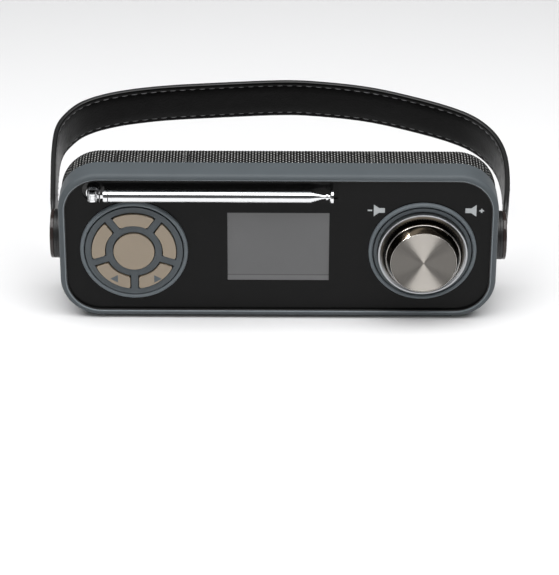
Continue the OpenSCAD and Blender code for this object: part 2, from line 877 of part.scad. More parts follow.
module antenna_pin() color(steel) at_mast() rotate([90, 0, 0]) {
    half = tang_t / 2 + ear_gap + ear_t;
    cylinder(r = pin_r, h = 2 * half, center = true);
    for (s = [-1, 1]) translate([0, 0, s * (half + pin_head_t / 2)])
        cylinder(r = pin_head_r, h = pin_head_t, center = true);
}

module antenna_tube_1() color(steel) at_mast() difference() {
    union() {
        rotate([90, 0, 0]) cylinder(r = eye_r, h = tang_t, center = true);
        translate([0, -tang_t / 2, -tang_t / 2]) cube([tube_start + 1, tang_t, tang_t]);
        translate([tube_start, 0, 0]) rotate([0, 90, 0]) {
            cylinder(r = mast_r, h = mast_len);
            for (x = [0.6, 3.6]) translate([0, 0, x]) cylinder(r = mast_r + 0.15, h = 1.2);
        }
    }
    rotate([90, 0, 0]) cylinder(r = pin_r + running, h = tang_t + 2, center = true);
    translate([tube_start + plug_len, 0, 0]) rotate([0, 90, 0])
        cylinder(r = mast_r - tube_wall, h = mast_len);
}

// Section of the mast, counted from 2, nested in the one before it
module mast_section(index) color(steel) at_mast() {
    r = mast_r - (index - 1) * tube_step;
    end = tube_start + mast_len + stagger * (index - 1);
    translate([end - section_len, 0, 0]) rotate([0, 90, 0]) difference() {
        cylinder(r = r, h = section_len);
        if (index < mast_sections) translate([0, 0, 0.5]) cylinder(r = r - tube_wall, h = section_len);
    }
}

module antenna_tip() color(steel) at_mast() {
    end = mast_total - tip_len;
    rod_r = mast_r - (mast_sections - 1) * tube_step;
    translate([end, 0, 0]) rotate([0, 90, 0]) {
        cylinder(r = rod_r - 0.2, h = 4);
        translate([0, 0, 1.2]) cylinder(r = rod_r + 0.5, h = 1.2);
        translate([0, 0, 3.4]) cylinder(r1 = tip_d / 2 - 0.5, r2 = tip_d / 2, h = 0.6);
        translate([0, 0, 4]) cylinder(r = tip_d / 2, h = tip_len - 4);
    }
}

// ---- Strap and pivots ----

// Children on one side of the case, with z pointing outwards from the middle
module on_side(side) {
    translate([0, 0, strap_pivot_z]) rotate([0, side * 90, 0]) children();
}

module strap_bosses() color(ink) for (s = [-1, 1]) on_side(s) difference() {
    union() {
        translate([0, 0, boss_x]) cylinder(r = hub_r_out, h = boss_t);
        translate([0, 0, boss_x + boss_t]) cylinder(r = pivot_r, h = hub_plate_t + 0.25);
        translate([0, 0, boss_x - 5.5]) cylinder(r = spigot_r, h = 5.5 + eps);
    }
    translate([0, 0, boss_x - 7]) cylinder(r = screw_r + running, h = 20);
}

module pivot_screws() color(steel) for (s = [-1, 1]) on_side(s) {
    translate([0, 0, boss_x - 9]) cylinder(r = screw_r, h = cap_x - boss_x + 9.1);
    translate([0, 0, cap_x + 0.1]) cylinder(r = head_r, h = head_t);
    translate([0, 0, boss_x - 5.5 - nut_len]) cylinder(r = nut_r, h = nut_len, $fn = 6);
}

module hub_plates() color(ink) for (s = [-1, 1]) on_side(s) translate([0, 0, plate_x])
    difference() {
        cylinder(r = hub_r_out, h = hub_plate_t);
        translate([0, 0, -1]) cylinder(r = pivot_r + running, h = hub_plate_t + 2);
    }

// Leaning frame of the strap: x right, y away from the pivots and z across
module strap_frame() {
    translate([0, 0, strap_pivot_z]) rotate([90 - strap_lean, 0, 0]) children();
}

module hub_caps() color([0.12, 0.11, 0.11]) strap_frame() for (s = [-1, 1])
    mirror([s < 0 ? 1 : 0, 0, 0]) difference() {
        translate([cap_x, 0, 0]) rotate([0, 90, 0]) {
            cylinder(r = hub_r_out, h = cap_t - cap_dome);
            translate([0, 0, cap_t - cap_dome])
                cylinder(r1 = hub_r_out, r2 = hub_r_out - 3.5, h = cap_dome);
        }
        translate([cap_x - 1, 0, 0]) rotate([0, 90, 0])
            cylinder(r = head_r + 0.5, h = head_t + 1.5);
        translate([cap_x - 1, -hub_r_out + 2.7, -tongue_w / 2 - 0.1])
            cube([tongue_t + 1.25, 2 * hub_r_out, tongue_w + 0.2]);
    }

// Point on the strap's centreline
function strap_point(p) = [p[0] * strap_x, p[1] * strap_reach];

// Smooth curve through the points, a cubic between each two
function smooth(pts, i, t) = let(n = len(pts) - 1, a = pts[max(i - 1, 0)], b = pts[i],
    c = pts[min(i + 1, n)], d = pts[min(i + 2, n)])
    0.5 * (2 * b + (c - a) * t + (2 * a - 5 * b + 4 * c - d) * t * t
        + (3 * b - a - 3 * c + d) * t * t * t);

strap_curve = [for (i = [0 : len(strap_line) - 2], k = [0 : strap_steps - 1])
    let(p = smooth([for (q = strap_line) strap_point(q)], i, k / strap_steps))
    if (p[1] > strap_start) p];
strap_path = concat([[-strap_x, strap_start]], strap_curve, [[strap_x, strap_start]]);

// Unit normal of the path at one of its points
function path_normal(path, i) = let(d = path[min(i + 1, len(path) - 1)] - path[max(i - 1, 0)])
    [-d[1], d[0]] / norm(d);

module carry_strap() color(leather) strap_frame() {
    last = len(strap_path) - 1;
    translate([0, 0, -strap_w / 2]) linear_extrude(strap_w)
        polygon(concat(
            [for (i = [0 : last]) strap_path[i] + path_normal(strap_path, i) * strap_t / 2],
            [for (i = [last : -1 : 0]) strap_path[i] - path_normal(strap_path, i) * strap_t / 2]));
    for (s = [-1, 1]) mirror([s < 0 ? 1 : 0, 0, 0]) difference() {
        translate([tongue_x, -hub_r_out + 3, -tongue_w / 2])
            cube([tongue_t, hub_r_out - 3 + strap_start + 1, tongue_w]);
        translate([tongue_x - 1, 0, 0]) rotate([0, 90, 0])
            cylinder(r = head_r + 0.4, h = tongue_t + 2);
    }
}

front_bezel();
front_panel();
display_window();
display_module();
button_ring();
button_frame();
key_board();
tact_switches();
dial_ring();
dial_well();
encoder_body();
encoder_nut();
main_board();
board_parts();
board_screws();
rear_shell();
cloth_cover();
rear_panel();
case_screws();
base_foot();
speaker_frames();
speaker_cones();
battery_tray();
battery_cells();
battery_contacts();
battery_door();
dc_socket();
aux_socket();
jack_board();
key_mode();
outer_key(0);  // key_1
outer_key(1);  // key_2
outer_key(2);  // key_3
outer_key(3);  // key_4
outer_key(4);  // key_5
knob_skirt();
knob_shell();
knob_face();
encoder_shaft();
switch_plunger();
antenna_socket();
antenna_base();
antenna_pin();
antenna_tube_1();
mast_section(2);  // antenna_tube_2
mast_section(3);  // antenna_tube_3
mast_section(4);  // antenna_tube_4
mast_section(5);  // antenna_tube_5
mast_section(6);  // antenna_tube_6
antenna_tip();
strap_bosses();
pivot_screws();
hub_plates();
hub_caps();
carry_strap();
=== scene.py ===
import json
import math

import bmesh
import bpy
from mathutils import Matrix, Vector

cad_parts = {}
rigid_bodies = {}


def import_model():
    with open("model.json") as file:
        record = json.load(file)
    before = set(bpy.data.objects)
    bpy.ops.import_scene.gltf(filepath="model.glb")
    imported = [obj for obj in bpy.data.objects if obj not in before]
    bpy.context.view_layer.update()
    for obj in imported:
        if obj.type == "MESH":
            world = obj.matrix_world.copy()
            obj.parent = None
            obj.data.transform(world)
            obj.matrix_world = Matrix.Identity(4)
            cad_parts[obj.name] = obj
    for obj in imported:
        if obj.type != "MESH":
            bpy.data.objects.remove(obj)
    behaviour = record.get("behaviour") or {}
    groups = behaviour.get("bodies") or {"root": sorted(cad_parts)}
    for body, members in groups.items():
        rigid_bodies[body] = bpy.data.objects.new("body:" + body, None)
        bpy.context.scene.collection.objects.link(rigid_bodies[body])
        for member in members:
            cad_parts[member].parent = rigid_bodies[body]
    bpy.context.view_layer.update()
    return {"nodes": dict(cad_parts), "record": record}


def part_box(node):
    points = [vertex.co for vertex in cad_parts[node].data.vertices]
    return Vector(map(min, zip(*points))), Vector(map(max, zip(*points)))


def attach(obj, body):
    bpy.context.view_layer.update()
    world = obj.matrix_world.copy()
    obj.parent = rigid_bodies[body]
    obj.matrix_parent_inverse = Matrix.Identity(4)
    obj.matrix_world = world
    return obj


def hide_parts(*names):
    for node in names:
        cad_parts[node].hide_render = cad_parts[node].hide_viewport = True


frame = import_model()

bl_info = {
    "name": "Strap Radio",
    "version": (1, 0, 0),
    "blender": (4, 5, 0),
    "location": "View3D > Sidebar > Strap Radio",
    "description": "Finishes, leather strap, speaker cloth, keys and knob of a portable radio",
    "category": "Object",
}

MM = 0.001
NODES = frame["nodes"]
JOINTS = {joint["name"]: joint for joint in frame["record"]["behaviour"]["joints"]}


# ---- Places taken from the frame ----

def centre(node):
    """Middle of a CAD node's box."""
    low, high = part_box(node)
    return (low + high) / 2


def size(node):
    """Width, depth and height of a CAD node's box."""
    low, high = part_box(node)
    return high - low


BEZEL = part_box("front_bezel")
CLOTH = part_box("cloth_cover")
RIM_Y = BEZEL[0].y
MID_Z = centre("front_bezel").z
PANEL_W = RIM_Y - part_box("front_panel")[0].y
DIAL_X = centre("button_ring").x
KNOB_X = centre("dial_ring").x
DIAL_V = centre("button_ring").z - MID_Z
PIVOT = Vector(JOINTS["strap_swing"]["pos_m"])

# Face coordinates: u to the right, v up from mid height, w out of the rim's plane
FACE = Matrix(((1, 0, 0, 0), (0, 0, -1, RIM_Y), (0, 1, 0, MID_Z), (0, 0, 0, 1)))


def on_face(u, v, w=0.0):
    """The front face's frame, moved to a point in it."""
    return FACE @ Matrix.Translation((u, v, w))


def on_back(x, y, z):
    """A frame at a point that looks out of the back."""
    return Matrix(((-1, 0, 0, x), (0, 0, 1, y), (0, 1, 0, z), (0, 0, 0, 1)))


# ---- Settings ----

def length(name, text, default, low=0.0, high=1.0):
    return bpy.props.FloatProperty(
        name=name, description=text, default=default, min=low, max=high, precision=5,
        subtype="DISTANCE", unit="LENGTH")


def colour(name, text, default):
    return bpy.props.FloatVectorProperty(
        name=name, description=text, default=default, size=3, min=0.0, max=1.0, subtype="COLOR")


def angle_of(name, text, default):
    return bpy.props.FloatProperty(
        name=name, description=text, default=default, subtype="ANGLE", unit="ROTATION")


def watts(name, text, default):
    return bpy.props.FloatProperty(name=name, description=text + " in watts", default=default, min=0, max=500)


class RadioCaseSettings(bpy.types.PropertyGroup):
    """Frame, panel, display and back of the case"""
    paint: colour("Paint", "Colour of the frame and the rings", (0.080, 0.092, 0.100))
    panel: colour("Panel", "Colour of the glossy front panel", (0.006, 0.006, 0.006))
    screen: colour("Screen", "Colour of the unlit display", (0.092, 0.092, 0.094))
    sign: colour("Signs", "Colour of the printed signs", (0.42, 0.44, 0.45))
    shell: colour("Shell", "Colour of the moulded black plastic", (0.02, 0.02, 0.021))
    corner: length("Corner", "Corner radius of the frame", 22 * MM)
    band: length("Band", "Width of the painted band round the panel", 3.35 * MM)
    sign_size: length("Sign height", "Height of the speaker signs", 7.0 * MM)
    sign_level: length("Sign level", "How far the speaker signs lie above mid height", 21.5 * MM)
    sign_left: length("Left sign", "Where the left sign's mouth stands", 51 * MM)
    sign_right: length("Right sign", "Where the right sign's back stands", 100 * MM)


class RadioClothSettings(bpy.types.PropertyGroup):
    """Ribbed speaker cloth"""
    rib_pitch: length("Rib pitch", "Distance between ribs", 1.63 * MM)
    rib_height: length("Rib height", "Height of a rib", 0.26 * MM)
    fleck_pitch: length("Fleck pitch", "Distance between light flecks along a rib", 2.1 * MM)
    yarn: colour("Yarn", "Colour of the dark yarn", (0.003, 0.003, 0.003))
    fleck: colour("Fleck", "Colour of the light flecks", (0.56, 0.56, 0.55))


class RadioKeySettings(bpy.types.PropertyGroup):
    """Key pad"""
    metal: colour("Key colour", "Colour of the satin keys", (0.232, 0.184, 0.128))
    corner: length("Corner radius", "Corner radius of the outer keys", 1.5 * MM)
    edge: length("Edge radius", "Radius of a key's top edge", 0.28 * MM)
    slip: length("Slip", "Extra gap round each key's cap", 0.04 * MM)
    web: length("Web", "Width of the webs between the outer keys", 4.6 * MM)
    inner: length("Inner radius", "Inner radius of the outer keys", 15.5 * MM)
    outer: length("Outer radius", "Outer radius of the outer keys", 22.8 * MM)
    middle: length("Middle key", "Diameter of the middle key", 22.2 * MM)
    sign_width: length("Triangle", "Width of the triangles", 4.2 * MM)


class RadioKnobSettings(bpy.types.PropertyGroup):
    """Push-and-turn knob"""
    teeth: bpy.props.IntProperty(
        name="Teeth", description="Number of teeth round the knurled skirt", default=96, min=24, max=240)
    lip: length("Lip", "Width of the lip round the spun face", 0.65 * MM)
    skirt_lap: length("Skirt lap", "How far the skirt's toothed slope runs in under the body", 0.75 * MM)
    tooth: length("Tooth", "Depth of a tooth", 0.9 * MM)
    face_power: watts("Face light", "Power of the softbox on the spun face", 95.0)
    spun: colour("Face", "Colour of the spun metal face", (0.17, 0.16, 0.147))
    body: colour("Body", "Colour of the polished body", (0.1, 0.08, 0.058))


class RadioStrapSettings(bpy.types.PropertyGroup):
    """Leather strap and its hubs"""
    lean: angle_of("Lean", "Lean of the strap behind upright", math.radians(76))
    width: length("Width", "Width of the strap", 25 * MM)
    thickness: length("Thickness", "Thickness of the strap", 3.2 * MM)
    reach: length("Reach", "Reach of the strap from its pivots", 117 * MM)
    half_span: length("Half span", "Distance from the middle to the strap at its hubs", 122.5 * MM)
    start: length("Start", "Where the strap leaves its hub", 14.2 * MM)
    inset: length("Stitch inset", "Distance of the stitching from the edge", 2.7 * MM)
    stitch_pitch: length("Stitch pitch", "Distance between stitches", 5.6 * MM)
    stitch_length: length("Stitch length", "Length of a stitch", 3.9 * MM)
    leather: colour("Leather", "Colour of the leather", (0.0016, 0.0016, 0.0016))
    thread: colour("Thread", "Colour of the thread", (0.11, 0.11, 0.112))
    hub: colour("Hub", "Colour of the glossy hubs", (0.034, 0.025, 0.023))


class RadioStageSettings(bpy.types.PropertyGroup):
    """Camera, floor and lights"""
    elevation: angle_of("Elevation", "Elevation of the camera", math.radians(29.385))
    roll: angle_of("Roll", "Roll of the camera", 0.004)
    distance: length("Distance", "Distance of the camera from its target", 1451.1 * MM, 0.5, 5.0)
    lens: bpy.props.FloatProperty(
        name="Lens", description="Focal length in millimetres", default=167.47, min=50, max=300)
    key_power: watts("Key light", "Power of the overhead softbox", 16.5)
    fill_power: watts("Fill light", "Power of the front softbox", 4.0)
    side_power: watts("Side light", "Power of the small window light", 60.0)
    rear_power: watts("Rear light", "Power of the softbox behind the knob", 2.6)
    wash_power: watts("Floor wash", "Power of the softbox over the floor behind", 11.0)
    sky: bpy.props.FloatProperty(
        name="Sky", description="Strength of the surrounding light", default=0.09, min=0, max=5)
    floor: colour("Floor", "Colour of the floor", (0.80, 0.80, 0.804))


# ---- Materials ----

class Shader:
    """A Principled material and the nodes that shape it"""

    def __init__(self, name, base, roughness, metallic=0.0, **sockets):
        self.material = bpy.data.materials.new(name)
        self.material.use_nodes = True
        self.tree = self.material.node_tree
        self.surface = self.tree.nodes["Principled BSDF"]
        self.base = (*base, 1.0)
        self.set("Base Color", self.base)
        self.set("Roughness", roughness)
        self.set("Metallic", metallic)
        for socket, value in sockets.items():
            self.set(socket.replace("_", " "), value)
        self.height = None

    def set(self, socket, value):
        self.surface.inputs[socket].default_value = value

    def node(self, kind, links=None, **values):
        """A new node, with attributes and socket values by name and links by socket."""
        made = self.tree.nodes.new(kind)
        for key, value in values.items():
            if hasattr(made, key):
                setattr(made, key, value)
            else:
                made.inputs[key.replace("_", " ")].default_value = value
        for socket, source in (links or {}).items():
            self.tree.links.new(source, made.inputs[socket])
        return made

    def place(self, scale=(1, 1, 1), kind="Object"):
        """Object or UV coordinates, scaled."""
        where = self.node("ShaderNodeTexCoord").outputs[kind]
        return self.node("ShaderNodeMapping", {"Vector": where}, Scale=scale).outputs["Vector"]

    def noise(self, scale, detail=4.0, stretch=(1, 1, 1)):
        return self.node("ShaderNodeTexNoise", {"Vector": self.place(stretch)}, Scale=scale,
                         Detail=detail).outputs["Fac"]

    def math(self, operation, a, b=None, clamp=False):
        made = self.node("ShaderNodeMath", operation=operation, use_clamp=clamp)
        for socket, value in zip(made.inputs, (a, b)):
            if value is None:
                continue
            if isinstance(value, (int, float)):
                socket.default_value = value
            else:
                self.tree.links.new(value, socket)
        return made.outputs[0]

    def spread(self, fac, low, high, start=0.0, end=1.0):
        """A value that runs from low to high while fac runs from start to end."""
        made = self.node("ShaderNodeMapRange", {"Value": fac})
        for socket, value in (("From Min", start), ("From Max", end), ("To Min", low), ("To Max", high)):
            made.inputs[socket].default_value = value
        return made.outputs["Result"]

    def blend(self, fac, first, second):
        """Colour between two colours, each a colour or a link."""
        made = self.node("ShaderNodeMix", data_type="RGBA")
        self.tree.links.new(fac, made.inputs["Factor"])
        for index, value in ((6, first), (7, second)):
            if isinstance(value, bpy.types.NodeSocket):
                self.tree.links.new(value, made.inputs[index])
            else:
                made.inputs[index].default_value = (*value[:3], 1.0)
        return made.outputs[2]

    def tint(self, fac, low, high):
        """Base colour varied between two multiples of itself."""
        pale = [min(1.0, part * high) for part in self.base[:3]]
        dark = [part * low for part in self.base[:3]]
        self.link("Base Color", self.blend(fac, dark, pale))

    def link(self, socket, source):
        self.tree.links.new(source, self.surface.inputs[socket])

    def bump(self, fac, depth, strength=1.0):
        """Adds a height in metres to the surface's normal."""
        links = {"Height": fac}
        if self.height is not None:
            links["Normal"] = self.height
        made = self.node("ShaderNodeBump", links, Strength=strength, Distance=depth)
        self.height = made.outputs["Normal"]
        self.link("Normal", self.height)
        return self


def paint(name, base, roughness=0.36):
    """Satin moulding with faint orange peel and rubbed patches."""
    made = Shader(name, base, roughness, Specular_IOR_Level=0.2)
    made.tint(made.noise(60, 3), 0.93, 1.08)
    made.link("Roughness", made.spread(made.noise(340, 5), roughness - 0.06, roughness + 0.1))
    made.bump(made.noise(1500, 3), 0.00003, 0.35)
    return made.material


def gloss(name, base, roughness=0.17, level=0.42):
    """Polished black moulding with fine hairline wear."""
    made = Shader(name, base, roughness, Specular_IOR_Level=level)
    made.tint(made.noise(45, 4), 0.85, 1.2)
    made.link("Roughness", made.spread(made.noise(120, 8), roughness - 0.04, roughness + 0.12))
    made.bump(made.noise(500, 4), 0.00002, 0.15)
    return made.material


def moulded(name, base, roughness=0.55, grain=2600):
    """Textured black plastic."""
    made = Shader(name, base, roughness)
    made.tint(made.noise(80, 4), 0.85, 1.2)
    sand = made.node("ShaderNodeTexVoronoi", {"Vector": made.place()}, Scale=grain).outputs["Distance"]
    made.bump(sand, 0.00006, 0.5)
    made.link("Roughness", made.spread(made.noise(300, 4), roughness - 0.08, roughness + 0.12))
    return made.material


def metal(name, base, roughness=0.12, stretch=(1, 1, 1), grain=0.25, scale=900):
    """Plated or brushed metal; stretch draws the brushing out along an axis."""
    made = Shader(name, base, roughness, 1.0)
    streaks = made.noise(scale, 4, stretch)
    made.tint(made.noise(70, 3), 0.94, 1.04)
    made.link("Roughness", made.spread(streaks, roughness * 0.75, roughness * 1.4))
    made.bump(streaks, 0.00002, grain)
    return made.material


def satin_key(name, base):
    """Metallic satin lacquer with a soft grain."""
    made = Shader(name, base, 0.3, 0.55, Coat_Weight=1.0, Coat_Roughness=0.04)
    made.tint(made.noise(110, 5), 0.95, 1.06)
    made.link("Roughness", made.spread(made.noise(700, 4), 0.27, 0.4))
    made.bump(made.noise(2400, 3), 0.00002, 0.3)
    return made.material


def spun_metal(name, base):
    """Metal turned on a lathe: rings round the axis that draw highlights into sectors."""
    made = Shader(name, base, 0.42, 1.0, Anisotropic=1.0, Anisotropic_Rotation=0.25)
    spin = made.node("ShaderNodeTangent", direction_type="RADIAL", axis="Y")
    made.link("Tangent", spin.outputs["Tangent"])
    where = made.node("ShaderNodeSeparateXYZ", {"Vector": made.place()})
    across = made.math("POWER", where.outputs["X"], 2.0)
    up = made.math("POWER", where.outputs["Z"], 2.0)
    radius = made.math("SQRT", made.math("ADD", across, up))
    rings = made.math("SINE", made.math("MULTIPLY", radius, 2 * math.pi / (0.22 * MM)))
    made.bump(made.spread(rings, 0, 1, -1, 1), 0.000004, 0.25)
    made.link("Roughness", made.spread(made.noise(900, 3, (1, 0.02, 0.02)), 0.39, 0.45))
    return made.material


def screen_glass(name, base):
    """Unlit display behind a window: an even grey with a dark line and a pale foot strip."""
    made = Shader(name, base, 0.16, Coat_Weight=0.3, Coat_Roughness=0.05)
    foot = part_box("display_window")[0].z + 1.2 * MM
    where = made.node("ShaderNodeSeparateXYZ", {"Vector": made.place()})
    rise = made.math("SUBTRACT", where.outputs["Z"], foot)
    line = made.math("LESS_THAN", made.math("ABSOLUTE", made.math("SUBTRACT", rise, 3.4 * MM)), 0.32 * MM)
    strip = made.math("LESS_THAN", rise, 3.0 * MM)
    grain = made.noise(40, 3)
    shade = made.blend(grain, [part * 0.93 for part in base], [part * 1.07 for part in base])
    shade = made.blend(strip, shade, [part * 1.16 for part in base])
    made.link("Base Color", made.blend(line, shade, [part * 0.62 for part in base]))
    return made.material


def woven_cloth(name, settings):
    """Ribbed weave with light flecks, laid out on the cloth's own UV in metres."""
    made = Shader(name, settings.yarn, 0.8, Specular_IOR_Level=0.12)
    where = made.node("ShaderNodeSeparateXYZ", {"Vector": made.node("ShaderNodeUVMap").outputs["UV"]})
    rib = made.math("DIVIDE", where.outputs["X"], settings.rib_pitch)
    run = made.math("DIVIDE", where.outputs["Y"], settings.fleck_pitch)
    stagger = made.math("MULTIPLY", made.math("FLOOR", rib), 0.5)
    across = made.math("ABSOLUTE", made.math("SUBTRACT", made.math("FRACT", rib), 0.5))
    shifted = made.math("FRACT", made.math("ADD", run, stagger))
    along = made.math("ABSOLUTE", made.math("SUBTRACT", shifted, 0.5))
    thread = made.spread(across, 1.0, 0.0, 0.08, 0.24)
    fleck = made.math("MULTIPLY", thread, made.spread(along, 1.0, 0.0, 0.12, 0.26), clamp=True)
    patchy = made.spread(made.noise(420, 3), 0.6, 1.0, 0.35, 0.6)
    made.link("Base Color", made.blend(made.math("MULTIPLY", fleck, patchy), settings.yarn, settings.fleck))
    made.bump(made.math("ADD", thread, fleck), 0.0001, 0.6)
    return made.material


def grained_leather(name, base, roughness=0.36, level=0.11):
    """Fine pebbled leather with creases and a soft sheen."""
    made = Shader(name, base, roughness, Specular_IOR_Level=level)
    pebbles = made.node("ShaderNodeTexVoronoi", {"Vector": made.place()}, Scale=1150.0,
                        feature="SMOOTH_F1").outputs["Distance"]
    made.tint(made.noise(160, 5), 0.7, 1.6)
    made.bump(made.noise(95, 6), 0.0005, 0.35)
    made.bump(pebbles, 0.00016, 0.55)
    made.link("Roughness", made.spread(made.noise(240, 5), roughness - 0.1, roughness + 0.16))
    return made.material


def board(name):
    """Green solder mask with lighter copper runs."""
    made = Shader(name, (0.01, 0.09, 0.03), 0.35)
    runs = made.node("ShaderNodeTexBrick", {"Vector": made.place((1, 1, 1))}, Scale=160.0)
    made.link("Base Color", made.blend(runs.outputs["Fac"], (0.008, 0.07, 0.024), (0.02, 0.16, 0.06)))
    made.bump(runs.outputs["Fac"], 0.00004, 0.4)
    return made.material


# ---- Meshes ----

def piece(name, verts, faces, material, body, stands_for=(), sharp=38.0, extra=()):
    """A smooth-shaded mesh that rides on a CAD body."""
    mesh = bpy.data.meshes.new(name)
    mesh.from_pydata([tuple(v) for v in verts], [], faces)
    shaped = bmesh.new()
    shaped.from_mesh(mesh)
    bmesh.ops.remove_doubles(shaped, verts=shaped.verts, dist=1e-7)
    bmesh.ops.recalc_face_normals(shaped, faces=shaped.faces)
    shaped.to_mesh(mesh)
    shaped.free()
    mesh.materials.append(material)
    for other in extra:
        mesh.materials.append(other)
    for polygon in mesh.polygons:
        polygon.use_smooth = True
    mesh.set_sharp_from_angle(angle=math.radians(sharp))
    made = bpy.data.objects.new(name, mesh)
    bpy.context.scene.collection.objects.link(made)
    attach(made, body)
    if stands_for:
        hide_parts(*stands_for)
    return made


def finish_node(material, *names):
    """Gives CAD nodes that stay their finish."""
    for name in names:
        mesh = NODES[name].data
        mesh.materials.clear()
        mesh.materials.append(material)


def lathe(profile, place, steps=144, wave=None):
    """Turns (radius, height) pairs round an axis; wave(angle, index) adds to the radius."""
    verts, faces, rows = [], [], []
    for index, (radius, height) in enumerate(profile):
        if radius < 1e-9:
            rows.append([len(verts)])
            verts.append(place @ Vector((0, 0, height)))
            continue
        rows.append(range(len(verts), len(verts) + steps))
        for step in range(steps):
            angle = 2 * math.pi * step / steps
            reach = radius + (wave(angle, index) if wave else 0)
            verts.append(place @ Vector((reach * math.cos(angle), reach * math.sin(angle), height)))
    for a, b in zip(rows, rows[1:]):
        for step in range(steps):
            after = (step + 1) % steps
            if len(a) == 1:
                faces.append((a[0], b[step], b[after]))
            elif len(b) == 1:
                faces.append((a[step], a[after], b[0]))
            else:
                faces.append((a[step], a[after], b[after], b[step]))
    return verts, faces


def bend(centre_at, radius, start, end, steps=6):
    """Points of an arc in a profile, with angles in degrees."""
    return [(centre_at[0] + radius * math.cos(math.radians(start + (end - start) * i / steps)),
             centre_at[1] + radius * math.sin(math.radians(start + (end - start) * i / steps)))
            for i in range(steps + 1)]


def inset(outline, by):
    """A closed outline moved inwards by a distance."""
    count = len(outline)
    moved = []
    for i, here in enumerate(outline):
        before, after = outline[i - 1], outline[(i + 1) % count]
        along = Vector((after[0] - before[0], after[1] - before[1])).normalized()
        moved.append((here[0] - along.y * by, here[1] + along.x * by))
    return moved


def stack(levels, place):
    """Joins outlines of equal length at rising heights and closes the last one."""
    verts, faces = [], []
    count = len(levels[0][0])
    for outline, height in levels:
        verts += [place @ Vector((x, y, height)) for x, y in outline]
    for level in range(len(levels) - 1):
        for i in range(count):
            after = (i + 1) % count
            a, b = level * count, (level + 1) * count
            faces.append((a + i, a + after, b + after, b + i))
    faces.append(tuple(range((len(levels) - 1) * count, len(levels) * count)))
    faces.append(tuple(reversed(range(count))))
    return verts, faces


def printed(outline, height, place):
    """A thin print that stands just proud of the surface."""
    return stack([(outline, -0.01 * MM), (outline, height)], place)


def add_to(verts, faces, more, also):
    """Appends one mesh's points and faces to another's."""
    base = len(verts)
    verts.extend(more)
    faces.extend(tuple(base + k for k in face) for face in also)


def cushion_levels(outline, low, top, edge, steps=5):
    """Levels of a cap whose top edge is rounded."""
    levels = [(outline, low)]
    for i in range(steps + 1):
        turn = math.pi / 2 * i / steps
        levels.append((inset(outline, edge * (1 - math.cos(turn))), top - edge + edge * math.sin(turn)))
    levels.append((inset(outline, edge * 1.35), top))
    return levels


def soften(corners, radius, steps=5):
    """Rounds the corners of an outline. A corner is (x, y) or (x, y, radius)."""
    outline = []
    count = len(corners)
    for i, corner in enumerate(corners):
        here = Vector(corner[:2])
        reach = corner[2] if len(corner) > 2 else radius
        if reach <= 0:
            outline.append(tuple(here))
            continue
        before = here + (Vector(corners[i - 1][:2]) - here).normalized() * reach
        after = here + (Vector(corners[(i + 1) % count][:2]) - here).normalized() * reach
        for k in range(steps + 1):
            t = k / steps
            outline.append(tuple(before * (1 - t) ** 2 + here * 2 * t * (1 - t) + after * t * t))
    return outline


def round_box(width, height, radius, steps=6):
    """Outline of a rectangle with round corners, counterclockwise."""
    corners = [(x * width / 2, y * height / 2) for x, y in ((1, -1), (1, 1), (-1, 1), (-1, -1))]
    return soften(corners, radius, steps)


def run_round(profile, half_w, half_h, corner, place, steps=20):
    """Runs a closed profile of (inset, height) points round a rectangle with round corners."""
    verts, faces = [], []
    for sx, sy, start in ((1, 1, 0), (-1, 1, 90), (-1, -1, 180), (1, -1, 270)):
        for i in range(steps + 1):
            angle = math.radians(start + 90 * i / steps)
            for by, height in profile:
                x = sx * (half_w - corner) + (corner - by) * math.cos(angle)
                y = sy * (half_h - corner) + (corner - by) * math.sin(angle)
                verts.append(place @ Vector((x, y, height)))
    deep = len(profile)
    around = len(verts) // deep
    for i in range(around):
        for k in range(deep):
            a, b = i * deep, ((i + 1) % around) * deep
            after = (k + 1) % deep
            faces.append((a + k, b + k, b + after, a + after))
    return verts, faces


def ring_of(radius, steps=96):
    return [(radius * math.cos(2 * math.pi * i / steps), radius * math.sin(2 * math.pi * i / steps))
            for i in range(steps)]


def softbox(name, where, target, spread, power):
    """A rectangular area light aimed at a point."""
    light = bpy.data.lights.new(name, "AREA")
    light.shape = "RECTANGLE"
    light.size, light.size_y = spread
    light.energy = power
    made = bpy.data.objects.new(name, light)
    made.location = where
    made.rotation_euler = (Vector(target) - Vector(where)).to_track_quat("-Z", "Y").to_euler()
    bpy.context.scene.collection.objects.link(made)
    return made


def shine_on(light, beginnings):
    """Limits a light to the pieces whose names begin in one of these ways."""
    lit = bpy.data.collections.new("lit_by_" + light.name)
    for made in bpy.context.scene.collection.objects:
        if made.type == "MESH" and made.name.startswith(tuple(beginnings)):
            lit.objects.link(made)
    light.light_linking.receiver_collection = lit


# ---- Operators ----

